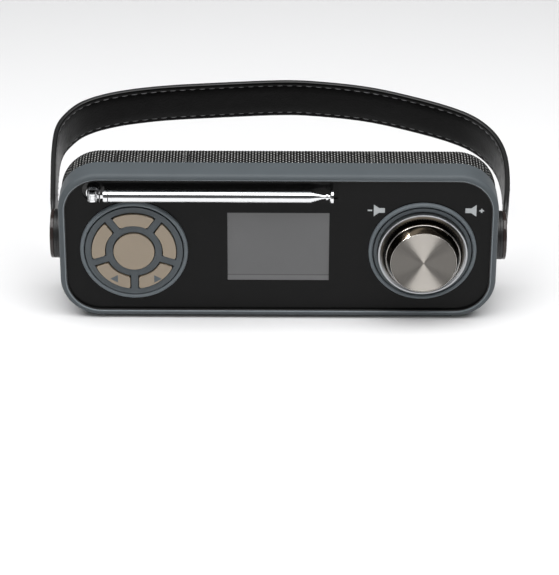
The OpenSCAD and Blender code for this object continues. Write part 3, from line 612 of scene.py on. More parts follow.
class RADIO_OT_case(bpy.types.Operator):
    """Paint the frame, panel and rings, and print the signs on the panel"""
    bl_idname = "radio.case"
    bl_label = "Case Front"

    def execute(self, context):
        settings = context.scene.radio_case
        slate = paint("frame_paint", settings.paint, 0.5)
        self.frame(settings, slate)
        finish_node(paint("ring_paint", settings.paint, 0.32), "button_frame", "dial_well")
        pale = [part * 1.55 for part in settings.paint]
        finish_node(paint("dial_ring_paint", pale, 0.32), "button_ring", "dial_ring")
        finish_node(gloss("panel_gloss", settings.panel, 0.17, 0.11), "front_panel")
        finish_node(screen_glass("screen_grey", settings.screen), "display_window")
        ink = moulded("sign_print", settings.sign, 0.5)
        half = settings.sign_size / 2
        mouth = settings.sign_left
        lift = PANEL_W + 0.02 * MM
        body, horn, neck = 3.1 * MM, 2.8 * MM, 1.4 * MM
        speaker = [(0, -half), (horn, -neck), (horn + body, -neck), (horn + body, neck), (horn, neck),
                   (0, half)]
        for side, edge in (("left", mouth), ("right", settings.sign_right)):
            outline = speaker
            if side == "right":
                outline = [(horn + body - x, y) for x, y in reversed(speaker)]
            self.sign(side + "_speaker_sign", outline, on_face(edge, settings.sign_level, lift), ink)
        bar, thin = 1.2 * MM, 0.4 * MM
        minus = [(-bar, -thin), (bar, -thin), (bar, thin), (-bar, thin)]
        self.sign("minus_sign", minus, on_face(mouth - 2.1 * MM, settings.sign_level, lift), ink)
        plus = [(-thin, -bar), (thin, -bar), (thin, -thin), (bar, -thin), (bar, thin), (thin, thin),
                (thin, bar), (-thin, bar), (-thin, thin), (-bar, thin), (-bar, -thin), (-thin, -thin)]
        self.sign("plus_sign", plus, on_face(settings.sign_right + 8.7 * MM, settings.sign_level, lift), ink)
        return {"FINISHED"}

    @staticmethod
    def frame(settings, slate):
        """Front frame with softened edges, a painted highlight line along its inner edge, and the black lip
        round the panel inside it.
        """
        half_w, half_h = size("front_bezel").x / 2, size("front_bezel").z / 2
        depth = size("front_bezel").y
        soft, fine, band = 2.5 * MM, 0.55 * MM, settings.band
        wall, floor = 2 * MM, PANEL_W
        profile = [(0, -depth + 0.35 * MM), (0, -depth + 2 * MM), (0, -soft)]
        profile += bend((soft, -soft), soft, 180, 90, 10)[1:]
        profile += bend((band - fine, -fine), fine, 90, 0, 5)
        profile += [(band, floor), (wall, floor), (wall, -depth), (0.35 * MM, -depth)]
        verts, faces = run_round(profile, half_w, half_h, settings.corner, FACE)
        piece("painted_frame", verts, faces, slate, "case", ("front_bezel",), sharp=40)
        # Bead along the inner edge in a paler copy of the frame paint: a painted highlight line, glossy so
        # that it also catches the lamps.
        turn = (band - fine, -fine)
        line = bend(turn, fine + 0.03 * MM, 95, -12, 8) + bend(turn, fine - 0.15 * MM, -12, 95, 8)
        verts, faces = run_round(line, half_w, half_h, settings.corner, FACE)
        shine = gloss("edge_gloss", [part * 2 for part in settings.paint], 0.1, 0.6)
        piece("frame_inner_edge", verts, faces, shine, "case", sharp=60)
        edge = 3.95 * MM
        lip = [(band - 0.1 * MM, floor), (band - 0.1 * MM, -0.5 * MM), (edge - 0.25 * MM, -0.5 * MM)]
        lip += bend((edge - 0.25 * MM, -0.75 * MM), 0.25 * MM, 90, 0, 4) + [(edge, floor)]
        verts, faces = run_round(lip, half_w, half_h, settings.corner, FACE)
        piece("panel_lip", verts, faces, gloss("lip_gloss", (0.006, 0.006, 0.006), 0.2), "case",
              sharp=40)

    @staticmethod
    def sign(name, outline, place, ink):
        verts, faces = printed(outline, 0.04 * MM, place)
        piece(name, verts, faces, ink, "case")


class RADIO_OT_keys(bpy.types.Operator):
    """Build the six keys with rounded edges, the black mat that paints shade into the gaps round them, and
    the triangles
    """
    bl_idname = "radio.keys"
    bl_label = "Keys"

    def execute(self, context):
        settings = context.scene.radio_keys
        lacquer = satin_key("key_lacquer", settings.metal)
        gap_shade = moulded("key_rubber", (0.006, 0.006, 0.006), 0.7)
        dial = on_face(DIAL_X, DIAL_V)
        top = RIM_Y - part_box("key_mode")[0].y
        foot = RIM_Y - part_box("key_mode")[1].y
        for index in range(5):
            turn = Matrix.Rotation(math.radians(90 + 72 * index), 4, "Z")
            self.key(f"key_{index + 1}", self.arc_outline(settings, 5), dial @ turn, top, settings,
                     lacquer, gap_shade, foot, Vector(((settings.inner + settings.outer) / 2, 0)))
        self.key("key_mode", ring_of(settings.middle / 2), dial, top, settings, lacquer, gap_shade, foot,
                 Vector((0, 0)))
        tip = settings.sign_width
        ink = moulded("key_print", (0.075, 0.09, 0.1), 0.5)
        left = [(0, 0), (tip, -tip * 0.55), (tip, tip * 0.55)]
        right = [(0, tip * 0.55), (0, -tip * 0.55), (tip, 0)]
        level = -16.6 * MM
        for body, outline, u in (("key_3_body", left, -13.2 * MM), ("key_4_body", right, 10.6 * MM)):
            place = dial @ Matrix.Translation((u, level, top))
            verts, faces = printed(outline, 0.03 * MM, place)
            piece(body.replace("body", "triangle"), verts, faces, ink, body)
        return {"FINISHED"}

    @staticmethod
    def arc_outline(settings, corner_steps):
        """Outline of one outer key about the direction of +x, counterclockwise."""
        def edge_angle(radius):
            return math.radians(36) - math.asin(settings.web / 2 / radius)

        def arc(radius, start, end, steps):
            return [(radius * math.cos(start + (end - start) * i / steps),
                     radius * math.sin(start + (end - start) * i / steps)) for i in range(steps + 1)]

        wide, narrow = edge_angle(settings.outer), edge_angle(settings.inner)
        trim_out, trim_in = settings.corner / settings.outer, settings.corner / settings.inner
        far = arc(settings.outer, -wide + trim_out, wide - trim_out, 20)
        near = arc(settings.inner, narrow - trim_in, -narrow + trim_in, 14)

        def corner(before, vertex, after):
            """Soft corner from one point through a vertex towards the next edge."""
            a, b, c = Vector(before), Vector(vertex), Vector(after)
            c = b + (c - b).normalized() * settings.corner
            return [tuple(a * (1 - t) ** 2 + b * 2 * t * (1 - t) + c * t * t)
                    for t in (k / corner_steps for k in range(1, corner_steps + 1))]

        def at_edge(radius, angle):
            return (radius * math.cos(angle), radius * math.sin(angle))

        out_top, in_top = at_edge(settings.outer, wide), at_edge(settings.inner, narrow)
        out_low, in_low = at_edge(settings.outer, -wide), at_edge(settings.inner, -narrow)
        outline = list(far)
        outline += corner(far[-1], out_top, in_top)
        outline += list(reversed(corner(near[0], in_top, out_top)))
        outline += near
        outline += corner(near[-1], in_low, out_low)
        outline += list(reversed(corner(far[0], out_low, in_low)))
        return outline

    @staticmethod
    def key(name, outline, place, top, settings, lacquer, gap_shade, foot, stem):
        low = -1.4 * MM
        cap = inset(outline, settings.slip)
        verts, faces = stack(cushion_levels(cap, low, top, settings.edge), place)
        piece(name + "_cap", verts, faces, lacquer, name + "_body", (name,), sharp=50)
        # Black mat and post under each cap: painted shade that keeps the gaps round the caps dark.
        skirt = inset(outline, -0.75 * MM)
        inner = inset(outline, 0.05 * MM)
        levels = [(skirt, -3.1 * MM), (skirt, -2.5 * MM), (inner, -2.5 * MM), (inner, low - 0.01 * MM)]
        verts, faces = stack(levels, place)
        post = [(x + stem.x, y + stem.y) for x, y in ring_of(2 * MM, 24)]
        add_to(verts, faces, *stack([(post, foot), (post, -3.1 * MM)], place))
        piece(name + "_mat", verts, faces, gap_shade, name + "_body")


class RADIO_OT_knob(bpy.types.Operator):
    """Turn the knob's polished body, spun face and knurled skirt"""
    bl_idname = "radio.knob"
    bl_label = "Knob"

    def execute(self, context):
        settings = context.scene.radio_knob
        knob = on_face(KNOB_X, DIAL_V)
        top = RIM_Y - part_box("knob_shell")[0].y
        radius = size("knob_shell").x / 2
        face_r = size("knob_face").x / 2 - settings.lip
        polish = metal("knob_polish", settings.body, 0.09, grain=0.08)
        # body: flat flank, shoulder, taper up to a fine lip round the face
        profile = [(radius - 2.2 * MM, -0.75 * MM), (radius - 0.3 * MM, -0.75 * MM)]
        profile += [(radius - 0.1 * MM, 6.1 * MM), (radius - 0.3 * MM, 6.3 * MM)]
        profile += [(radius - 0.35 * MM, 6.9 * MM)]
        profile += bend((face_r + 0.12 * MM, top - 0.32 * MM), 0.3 * MM, 22, 100, 9)
        profile += [(face_r + 0.02 * MM, top - 0.12 * MM), (face_r, top - 0.5 * MM)]
        profile += [(face_r - 1.5 * MM, top - 0.9 * MM)]
        verts, faces = lathe(profile, knob)
        piece("knob_body", verts, faces, polish, "knob", ("knob_shell",), sharp=14)
        # The bead and the rim round the face are a paler metal than the body: painted highlight lines on
        # small real roundings.
        bright = metal("knob_bead_metal", (0.42, 0.4, 0.38), 0.22)
        bead = bend((radius - 0.45 * MM, 6.5 * MM), 0.45 * MM, -60, 120, 9)
        verts, faces = lathe(bead, knob)
        piece("knob_bead", verts, faces, bright, "knob", sharp=80)
        rim = bend((face_r + 0.18 * MM, top - 0.2 * MM), 0.2 * MM, -30, 200, 8)
        verts, faces = lathe(rim, knob)
        piece("knob_face_rim", verts, faces, bright, "knob", sharp=80)
        spun = spun_metal("knob_spun_metal", settings.spun)
        flat = [(0, top - 0.1 * MM), (face_r * 0.5, top - 0.1 * MM), (face_r - 0.5 * MM, top - 0.1 * MM)]
        flat += bend((face_r - 0.4 * MM, top - 0.4 * MM), 0.32 * MM, 80, 0, 4)
        flat += [(face_r - 0.08 * MM, top - 0.9 * MM), (0, top - 0.9 * MM)]
        verts, faces = lathe(flat, Matrix.Identity(4))
        face = piece("knob_spun_face", verts, faces, spun, "knob", ("knob_face",))
        self.move_origin(face, knob)
        self.face_light(face, settings)
        self.skirt(settings, knob)
        finish_node(metal("shaft_steel", (0.55, 0.55, 0.56), 0.3), "encoder_shaft", "switch_plunger")
        return {"FINISHED"}

    @staticmethod
    def face_light(face, settings):
        """A softbox that lights the spun face alone, so that its turning marks show."""
        light = softbox("knob_softbox", (KNOB_X, -1.7, 0.8), (KNOB_X, 0.0, 0.05), (2.1, 0.7),
                        settings.face_power)
        shine_on(light, (face.name,))

    @staticmethod
    def move_origin(face, knob):
        """Puts the face's origin on the knob's axis, where its turning marks are centred."""
        hub = knob.translation
        face.data.transform(Matrix.Translation(-hub) @ knob)
        face.matrix_world = Matrix.Translation(hub)

    @staticmethod
    def skirt(settings, knob):
        low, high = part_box("knob_skirt")
        outer, wide = (high.x - low.x) / 2, 2.4 * MM
        top, foot = RIM_Y - low.y, RIM_Y - high.y
        lip = outer - 1.0 * MM
        profile = [(outer - wide, foot), (outer - 0.2 * MM, foot), (outer, foot + 0.3 * MM)]
        profile += bend((outer - 0.3 * MM, top - 0.3 * MM), 0.3 * MM, 0, 90, 4)
        inner = outer - wide - settings.skirt_lap
        profile += [(lip, top), (lip - 0.1 * MM, top - 0.08 * MM), (lip - 0.5 * MM, top - 0.2 * MM),
                    (inner + 0.3 * MM, top - 0.75 * MM), (inner, top - 1.1 * MM), (inner, foot),
                    (outer - wide, foot)]
        notched = (len(profile) - 5, len(profile) - 4, len(profile) - 3)

        def wave(angle, index):
            if index not in notched:
                return 0
            side = -0.4 if index == notched[0] else 1.0
            return side * settings.tooth * (abs(math.sin(angle * settings.teeth / 2)) - 0.5)

        verts, faces = lathe(profile, knob, settings.teeth * 6, wave)
        knurl = metal("skirt_knurl", (0.42, 0.43, 0.44), 0.3)
        piece("knob_knurled_skirt", verts, faces, knurl, "knob", ("knob_skirt",), sharp=60)
        # Black ring under the knob, between the skirt and the body: painted shadow that darkens the gap.
        under = size("knob_shell").x / 2 - 0.5 * MM
        web = [(outer - wide, foot), (outer - wide, 0.2 * MM), (under, 0.2 * MM)]
        verts, faces = lathe(web, knob)
        piece("knob_shadow_ring", verts, faces, moulded("knob_web", (0.006, 0.006, 0.006), 0.6), "knob")


class RADIO_OT_mast(bpy.types.Operator):
    """Plate the antenna and its foot"""
    bl_idname = "radio.mast"
    bl_label = "Antenna"

    def execute(self, context):
        chrome = metal("mast_chrome", (0.78, 0.79, 0.8), 0.07, grain=0.05)
        tubes = [f"antenna_tube_{i}" for i in range(1, 7)]
        finish_node(chrome, *tubes, "antenna_base", "antenna_pin", "antenna_tip")
        finish_node(gloss("socket_black", (0.012, 0.012, 0.012), 0.15), "antenna_socket")
        low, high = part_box("antenna_tube_1")
        radius = (high.z - low.z) / 2
        axis = Matrix.Translation((low.x, (low.y + high.y) / 2, (low.z + high.z) / 2)) @ Matrix.Rotation(
            math.pi / 2, 4, "Y")
        # Dark rings standing just proud of the first tube: painted shade standing for grooves in the ferrule.
        groove = metal("mast_groove", (0.12, 0.12, 0.125), 0.3)
        verts, faces = [], []
        for start in (0.9, 4.6, 6.4, 10.8):
            ring = [(radius - 0.1 * MM, start * MM), (radius + 0.03 * MM, start * MM),
                    (radius + 0.03 * MM, (start + 0.42) * MM), (radius - 0.1 * MM, (start + 0.42) * MM)]
            add_to(verts, faces, *lathe(ring, axis, 48))
        piece("mast_ferrule_grooves", verts, faces, groove, "mast_1")
        return {"FINISHED"}


class RADIO_OT_cloth(bpy.types.Operator):
    """Stretch the ribbed speaker cloth over the rear shell"""
    bl_idname = "radio.cloth"
    bl_label = "Speaker Cloth"

    def execute(self, context):
        settings = context.scene.radio_cloth
        weave = woven_cloth("speaker_weave", settings)
        half_w, half_h = size("cloth_cover").x / 2, size("cloth_cover").z / 2
        corner = 21.7 * MM
        rounding = 14 * MM
        front = CLOTH[0].y
        back = CLOTH[1].y
        low_z = centre("cloth_cover").z
        pitch, height = settings.rib_pitch, settings.rib_height
        diagonal = 0.7071  # a normal's share along x where the ribs turn the corner
        # path round the case: points with outward normals, and how far along x they lie
        path = self.path(half_w, half_h, corner, pitch / 4)
        rows = self.rows(front, back, rounding, pitch / 4)
        verts, faces, marks = [], [], []
        for px, pz, nx, nz in path:
            side = abs(nx)
            fade = min(1.0, abs(side - diagonal) / 0.16)
            for inward, depth, run in rows:
                reach = min(inward, corner)
                across = run if side > diagonal else px
                along = pz if side > diagonal else run
                rib = height * fade * (abs(math.cos(math.pi * across / pitch)) - 1)
                drop = inward / rounding
                lean = math.sqrt(max(0.0, 1 - drop * drop)) if inward else 1.0
                x = px - nx * (reach - rib * lean)
                z = pz - nz * (reach - rib * lean)
                y = depth + rib * drop
                verts.append((x, y, low_z + z))
                marks.append((across, along))
        count, deep = len(path), len(rows)
        for i in range(count):
            after = (i + 1) % count
            for k in range(deep - 1):
                faces.append((i * deep + k, after * deep + k, after * deep + k + 1, i * deep + k + 1))
        self.back_strips(verts, faces, marks, half_w - rounding, half_h - rounding, corner - rounding,
                         back, low_z, pitch, height)
        cover = piece("ribbed_cloth", verts, faces, weave, "case", ("cloth_cover",),
                      sharp=80)
        uv = cover.data.uv_layers.new(name="weave")
        where = {tuple(round(c, 7) for c in v): m for v, m in zip(verts, marks)}
        for loop in cover.data.loops:
            key = tuple(round(c, 7) for c in cover.data.vertices[loop.vertex_index].co)
            uv.data[loop.index].uv = where.get(key, (0, 0))
        return {"FINISHED"}

    @staticmethod
    def path(half_w, half_h, corner, step):
        points = []
        centres = [(1, 1, 0), (-1, 1, 90), (-1, -1, 180), (1, -1, 270)]
        for sx, sz, start in centres:
            cx, cz = sx * (half_w - corner), sz * (half_h - corner)
            turns = max(8, int(corner * math.pi / 2 / step))
            for i in range(turns + 1):
                angle = math.radians(start + 90 * i / turns)
                nx, nz = math.cos(angle), math.sin(angle)
                points.append((cx + corner * nx, cz + corner * nz, nx, nz))
            # straight run on to the next corner
            flat = 2 * (half_w - corner) if start in (0, 180) else 2 * (half_h - corner)
            count = int(flat / step)
            dx, dz = (-sx, 0) if start in (0, 180) else (0, -sz)
            end = points[-1]
            for i in range(1, count):
                points.append((end[0] + dx * flat * i / count, end[1] + dz * flat * i / count, nx, nz))
        return points

    @staticmethod
    def rows(front, back, rounding, step):
        """Inward distance, depth and run of each row from the frame to the flat back."""
        made = []
        straight = back - rounding - front
        count = int(straight / step)
        for i in range(count):
            made.append((0.0, front + straight * i / count, straight * i / count))
        turns = int(rounding * math.pi / 2 / step)
        for i in range(turns + 1):
            angle = math.pi / 2 * i / turns
            made.append((rounding * (1 - math.cos(angle)), back - rounding + rounding * math.sin(angle),
                         straight + rounding * angle))
        return made

    @staticmethod
    def back_strips(verts, faces, marks, half_w, half_h, corner, back, low_z, pitch, height):
        """Flat back as columns along the ribs, open where the rear panel's plug goes through."""
        count = int(2 * half_w / (pitch / 6))
        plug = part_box("rear_panel")
        hole_x, hole_z = plug[1].x - 6 * MM, (plug[1].z - plug[0].z) / 2 - 3 * MM
        for sign in (-1, 1):
            first = len(verts)
            for i in range(count + 1):
                x = -half_w + 2 * half_w * i / count
                over = abs(x) - (half_w - corner)
                top = half_h if over <= 0 else half_h - corner + math.sqrt(max(0, corner ** 2 - over ** 2))
                start = hole_z if abs(x) < hole_x else 0.0
                rib = height * (abs(math.cos(math.pi * x / pitch)) - 1)
                for z in (start, top):
                    verts.append((x, back + rib, low_z + sign * z))
                    marks.append((x, sign * z))
            for i in range(count):
                a = first + 2 * i
                faces.append((a, a + 1, a + 3, a + 2))


class RADIO_OT_strap(bpy.types.Operator):
    """Cut and stitch the leather strap, and turn its hubs"""
    bl_idname = "radio.strap"
    bl_label = "Strap"

    # the strap's line as shares of its half span and of its reach
    line = [(-1, 0), (-1.012, 0.25), (-1.022, 0.48), (-1.016, 0.64), (-0.978, 0.745), (-0.905, 0.835),
            (-0.775, 0.9), (-0.585, 0.945), (-0.36, 0.972), (0, 1), (0.2, 0.988), (0.43, 0.945),
            (0.645, 0.868), (0.81, 0.79), (0.915, 0.71), (0.99, 0.595), (1.026, 0.45), (1.028, 0.25), (1, 0)]

    def execute(self, context):
        settings = context.scene.radio_strap
        lean = Matrix.Translation(PIVOT) @ Matrix.Rotation(math.pi / 2 - settings.lean, 4, "X")
        points = self.centreline(settings)
        leather = grained_leather("strap_leather", settings.leather)
        edge = moulded("strap_edge_paint", (0.009, 0.009, 0.009), 0.4, 1400)
        verts, faces, kinds = self.band(settings, points, lean)
        strap = piece("stitched_strap", verts, faces, leather, "strap", ("carry_strap",),
                      sharp=55, extra=(edge,))
        for polygon, kind in zip(strap.data.polygons, kinds):
            polygon.material_index = kind
        self.stitches(settings, points, lean)
        self.hubs(settings, lean)
        return {"FINISHED"}

    def centreline(self, settings, fine=14):
        """Evenly spaced points (position, direction, run) along the strap from hub to hub."""
        knots = [Vector((u * settings.half_span, s * settings.reach)) for u, s in self.line]
        raw = []
        last = len(knots) - 1
        for i in range(last):
            a, b, c, d = (knots[max(i - 1, 0)], knots[i], knots[i + 1], knots[min(i + 2, last)])
            for k in range(fine):
                t = k / fine
                raw.append(0.5 * (2 * b + (c - a) * t + (2 * a - 5 * b + 4 * c - d) * t * t
                                  + (3 * b - a - 3 * c + d) * t ** 3))
        raw.append(knots[-1])
        raw = [p for p in raw if p.y > settings.start - 9 * MM]
        runs = [0.0]
        for a, b in zip(raw, raw[1:]):
            runs.append(runs[-1] + (b - a).length)
        step = 1.1 * MM
        count = int(runs[-1] / step)
        made, j = [], 0
        for i in range(count + 1):
            want = runs[-1] * i / count
            while j < len(runs) - 2 and runs[j + 1] < want:
                j += 1
            t = (want - runs[j]) / (runs[j + 1] - runs[j])
            made.append((raw[j].lerp(raw[j + 1], t), want))
        spots = []
        for i, (spot, run) in enumerate(made):
            direction = (made[min(i + 1, count)][0] - made[max(i - 1, 0)][0]).normalized()
            spots.append((spot, direction, run))
        return spots

    @staticmethod
    def section(settings):
        """Half outline (across, out, kind) of the outer face, with its stitch groove."""
        half, thick = settings.width / 2, settings.thickness / 2
        groove = half - settings.inset
        points = [(0.0, 1.0), (groove * 0.5, 0.98), (groove - 1.1 * MM, 0.94), (groove - 0.45 * MM, 0.83),
                  (groove, 0.74), (groove + 0.45 * MM, 0.84), (half - 1.3 * MM, 0.9),
                  (half - 0.75 * MM, 0.84), (half - 0.3 * MM, 0.66), (half - 0.06 * MM, 0.38), (half, 0.0)]
        return [(across, out * thick) for across, out in points]

    def band(self, settings, points, lean):
        """The strap's skin: a rounded, grooved section swept along its line."""
        quarter = self.section(settings)
        outline = quarter + [(a, -o) for a, o in reversed(quarter[:-1])]
        outline += [(-a, -o) for a, o in quarter[1:]]
        outline += [(-a, o) for a, o in reversed(quarter[1:-1])]
        verts, faces, kinds = [], [], []
        count = len(outline)
        total = points[-1][2]
        tongue = 9 * MM
        for spot, direction, run in points:
            normal = Vector((-direction.y, direction.x))
            left = min(run, total - run)
            narrow = 1.0
            if left < tongue:
                narrow = 0.66 + 0.34 * math.sqrt(max(0.0, 1 - (1 - left / tongue) ** 2))
            thin = 1.0 if left > tongue else 0.6 + 0.4 * left / tongue
            wave = 0.35 * MM * math.sin(run * 41.0) * math.sin(run * 17.0 + 1.3)
            for across, out in outline:
                place = spot + normal * (out * thin + wave * (across / (settings.width / 2)) ** 2 * 0.5)
                verts.append(lean @ Vector((place.x, place.y, across * narrow)))
        for i in range(len(points) - 1):
            for k in range(count):
                after = (k + 1) % count
                a, b = i * count, (i + 1) * count
                faces.append((a + k, a + after, b + after, b + k))
                middle = abs(outline[k][0] + outline[after][0]) / 2
                kinds.append(1 if middle > settings.width / 2 - 0.5 * MM else 0)
        faces += [tuple(range(count)), tuple(range(len(verts) - count, len(verts)))]
        kinds += [1, 1]
        return verts, faces, kinds

    def stitches(self, settings, points, lean):
        """Two rows of stitches on each face, each a small arched thread."""
        thread = grained_leather("strap_thread", settings.thread, 0.5)
        verts, faces = [], []
        total = points[-1][2]
        spacing = points[1][2] - points[0][2]
        count = int((total - 24 * MM) / settings.stitch_pitch)
        radius = 0.27 * MM
        for number in range(count):
            run = 12 * MM + number * settings.stitch_pitch
            for side in (-1, 1):
                for face in (-1, 1):
                    self.thread(verts, faces, settings, points, spacing, run, side, face, radius, lean)
        piece("strap_stitching", verts, faces, thread, "strap", sharp=80)

    @staticmethod
    def thread(verts, faces, settings, points, spacing, run, side, face, radius, lean, rings=7, around=8):
        across = side * (settings.width / 2 - settings.inset)
        base = len(verts)
        for i in range(rings):
            t = i / (rings - 1)
            where = (run + settings.stitch_length * t) / spacing
            j = min(int(where), len(points) - 2)
            spot = points[j][0].lerp(points[j + 1][0], where - j)
            direction = points[j][1]
            normal = Vector((-direction.y, direction.x)) * face
            arch = math.sin(math.pi * t)
            girth = radius * (0.35 + 0.65 * math.sqrt(arch))
            out = settings.thickness / 2 * 0.72 + 0.3 * MM * arch - 0.1 * MM
            for k in range(around):
                angle = 2 * math.pi * k / around
                place = spot + normal * (out + girth * math.sin(angle))
                verts.append(lean @ Vector((place.x, place.y, across + girth * math.cos(angle))))
        for i in range(rings - 1):
            for k in range(around):
                after = (k + 1) % around
                a, b = base + i * around, base + (i + 1) * around
                faces.append((a + k, a + after, b + after, b + k))
        faces.append(tuple(range(base, base + around)))
        faces.append(tuple(range(base + (rings - 1) * around, base + rings * around)))

    @staticmethod
    def hubs(settings, lean):
        """Domed caps with a fine groove near the rim."""
        shine = gloss("hub_gloss", settings.hub, 0.12)
        low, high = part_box("hub_caps")
        radius = (high.z - low.z) / 2
        reach = high.x
        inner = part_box("hub_plates")[1].x
        dome = 1.0 * MM
        flank = reach - dome
        profile = [(0, inner + 0.05 * MM), (radius - 0.3 * MM, inner + 0.05 * MM),
                   (radius, inner + 0.35 * MM)]
        profile += bend((radius - 0.5 * MM, flank - 0.2 * MM), 0.5 * MM, 0, 70, 5)
        profile += [(radius - 2.1 * MM, flank + 0.42 * MM), (radius - 2.3 * MM, flank + 0.22 * MM),
                    (radius - 2.6 * MM, flank + 0.22 * MM), (radius - 2.8 * MM, flank + 0.52 * MM)]
        crown = radius - 2.8 * MM
        for i in range(1, 8):
            share = 1 - i / 7
            profile.append((crown * share, flank + 0.52 * MM + (dome - 0.52 * MM) * (1 - share ** 2)))
        for side, name in ((-1, "left_hub_cap"), (1, "right_hub_cap")):
            place = lean @ Matrix.Rotation(math.pi / 2 * side, 4, "Y")
            verts, faces = lathe(profile, place, 96)
            piece(name, verts, faces, shine, "strap", ("hub_caps",), sharp=30)
        satin = moulded("boss_satin", (0.012, 0.012, 0.012), 0.4)
        finish_node(satin, "strap_bosses", "hub_plates")


class RADIO_OT_back(bpy.types.Operator):
    """Finish the rear panel, battery door, sockets, screws and foot"""
    bl_idname = "radio.back"
    bl_label = "Back"

    def execute(self, context):
        settings = context.scene.radio_case
        finish_node(moulded("shell_plastic", settings.shell), "rear_shell", "rear_panel", "battery_tray")
        finish_node(moulded("door_plastic", settings.shell, 0.5), "battery_door")
        finish_node(moulded("socket_plastic", (0.01, 0.01, 0.01), 0.4), "dc_socket")
        finish_node(gloss("aux_plastic", (0.01, 0.01, 0.01), 0.3), "aux_socket")
        finish_node(moulded("foot_rubber", (0.015, 0.015, 0.015), 0.8, 1800), "base_foot")
        finish_node(metal("screw_steel", (0.5, 0.5, 0.51), 0.28), "case_screws", "pivot_screws",
                    "board_screws", "encoder_nut")
        self.door_ribs(settings)
        self.socket_rings()
        self.marks()
        return {"FINISHED"}

    @staticmethod
    def door_ribs(settings):
        """Grip ribs below the door's finger notch."""
        grip = moulded("grip_plastic", settings.shell, 0.5)
        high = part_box("battery_door")[1]
        place = on_back(0, high.y, 0)
        rib = round_box(22 * MM, 0.9 * MM, 0.4 * MM, 4)
        verts, faces = [], []
        for i in range(5):
            where = place @ Matrix.Translation((0, high.z - (8 + 1.9 * i) * MM, -0.05 * MM))
            add_to(verts, faces, *stack(cushion_levels(rib, 0, 0.14 * MM, 0.1 * MM, 3), where))
        piece("door_grip", verts, faces, grip, "door")

    @staticmethod
    def socket_rings():
        """Bright ring in the headphone socket's mouth."""
        bright = metal("socket_ring_metal", (0.7, 0.68, 0.62), 0.15)
        mouth = centre("aux_socket")
        place = on_back(mouth.x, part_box("aux_socket")[1].y, mouth.z)
        profile = [(1.85 * MM, -0.6 * MM), (1.85 * MM, 0.05 * MM), (1.95 * MM, 0.14 * MM),
                   (2.5 * MM, 0.14 * MM), (2.65 * MM, 0.02 * MM)]
        verts, faces = lathe(profile, place, 64)
        piece("headphone_ring", verts, faces, bright, "case")

    @staticmethod
    def marks():
        """Moulded signs over the sockets: a pair of headphones, and a ring with a dot."""
        ink = moulded("back_print", (0.22, 0.22, 0.225), 0.5)
        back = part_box("rear_panel")[1].y
        level = centre("aux_socket").z + 5.6 * MM
        proud, reach = 0.05 * MM, 1.7 * MM
        place = on_back(centre("aux_socket").x, back, level)
        arc = [(reach * math.cos(math.radians(a)), reach * math.sin(math.radians(a)))
               for a in range(0, 181, 15)]
        outline = [(x * 1.13, y * 1.13) for x, y in arc]
        outline += [(x * 0.87, y * 0.87) for x, y in reversed(arc)]
        verts, faces = printed(outline, proud, place)
        for side in (-1, 1):
            pad = [(side * reach + u, v - 0.5 * MM) for u, v in round_box(0.9 * MM, 1.5 * MM, 0.3 * MM, 3)]
            add_to(verts, faces, *printed(pad, proud, place))
        piece("headphone_sign", verts, faces, ink, "case")
        place = on_back(centre("dc_socket").x, back, level + 0.6 * MM)
        ring = [(1.45 * MM, -0.01 * MM), (1.45 * MM, proud), (1.75 * MM, proud), (1.75 * MM, -0.01 * MM)]
        verts, faces = lathe(ring, place, 48)
        add_to(verts, faces, *printed(ring_of(0.45 * MM, 20), proud, place))
        piece("power_sign", verts, faces, ink, "case")


class RADIO_OT_inside(bpy.types.Operator):
    """Finish the boards, speakers, cells and display module"""
    bl_idname = "radio.inside"
    bl_label = "Inside"

    def execute(self, context):
        finish_node(board("solder_mask"), "main_board", "key_board", "jack_board")
        finish_node(metal("can_metal", (0.5, 0.5, 0.52), 0.35), "board_parts", "encoder_body",
                    "display_module")
        finish_node(moulded("switch_plastic", (0.02, 0.02, 0.02), 0.5), "tact_switches")
        finish_node(paint("basket_paint", (0.02, 0.02, 0.02), 0.5), "speaker_frames")
        finish_node(moulded("cone_paper", (0.03, 0.03, 0.032), 0.8, 900), "speaker_cones")
        finish_node(paint("cell_jacket", (0.2, 0.17, 0.08), 0.35), "battery_cells")
        finish_node(metal("contact_plate", (0.7, 0.69, 0.66), 0.2), "battery_contacts")
        return {"FINISHED"}


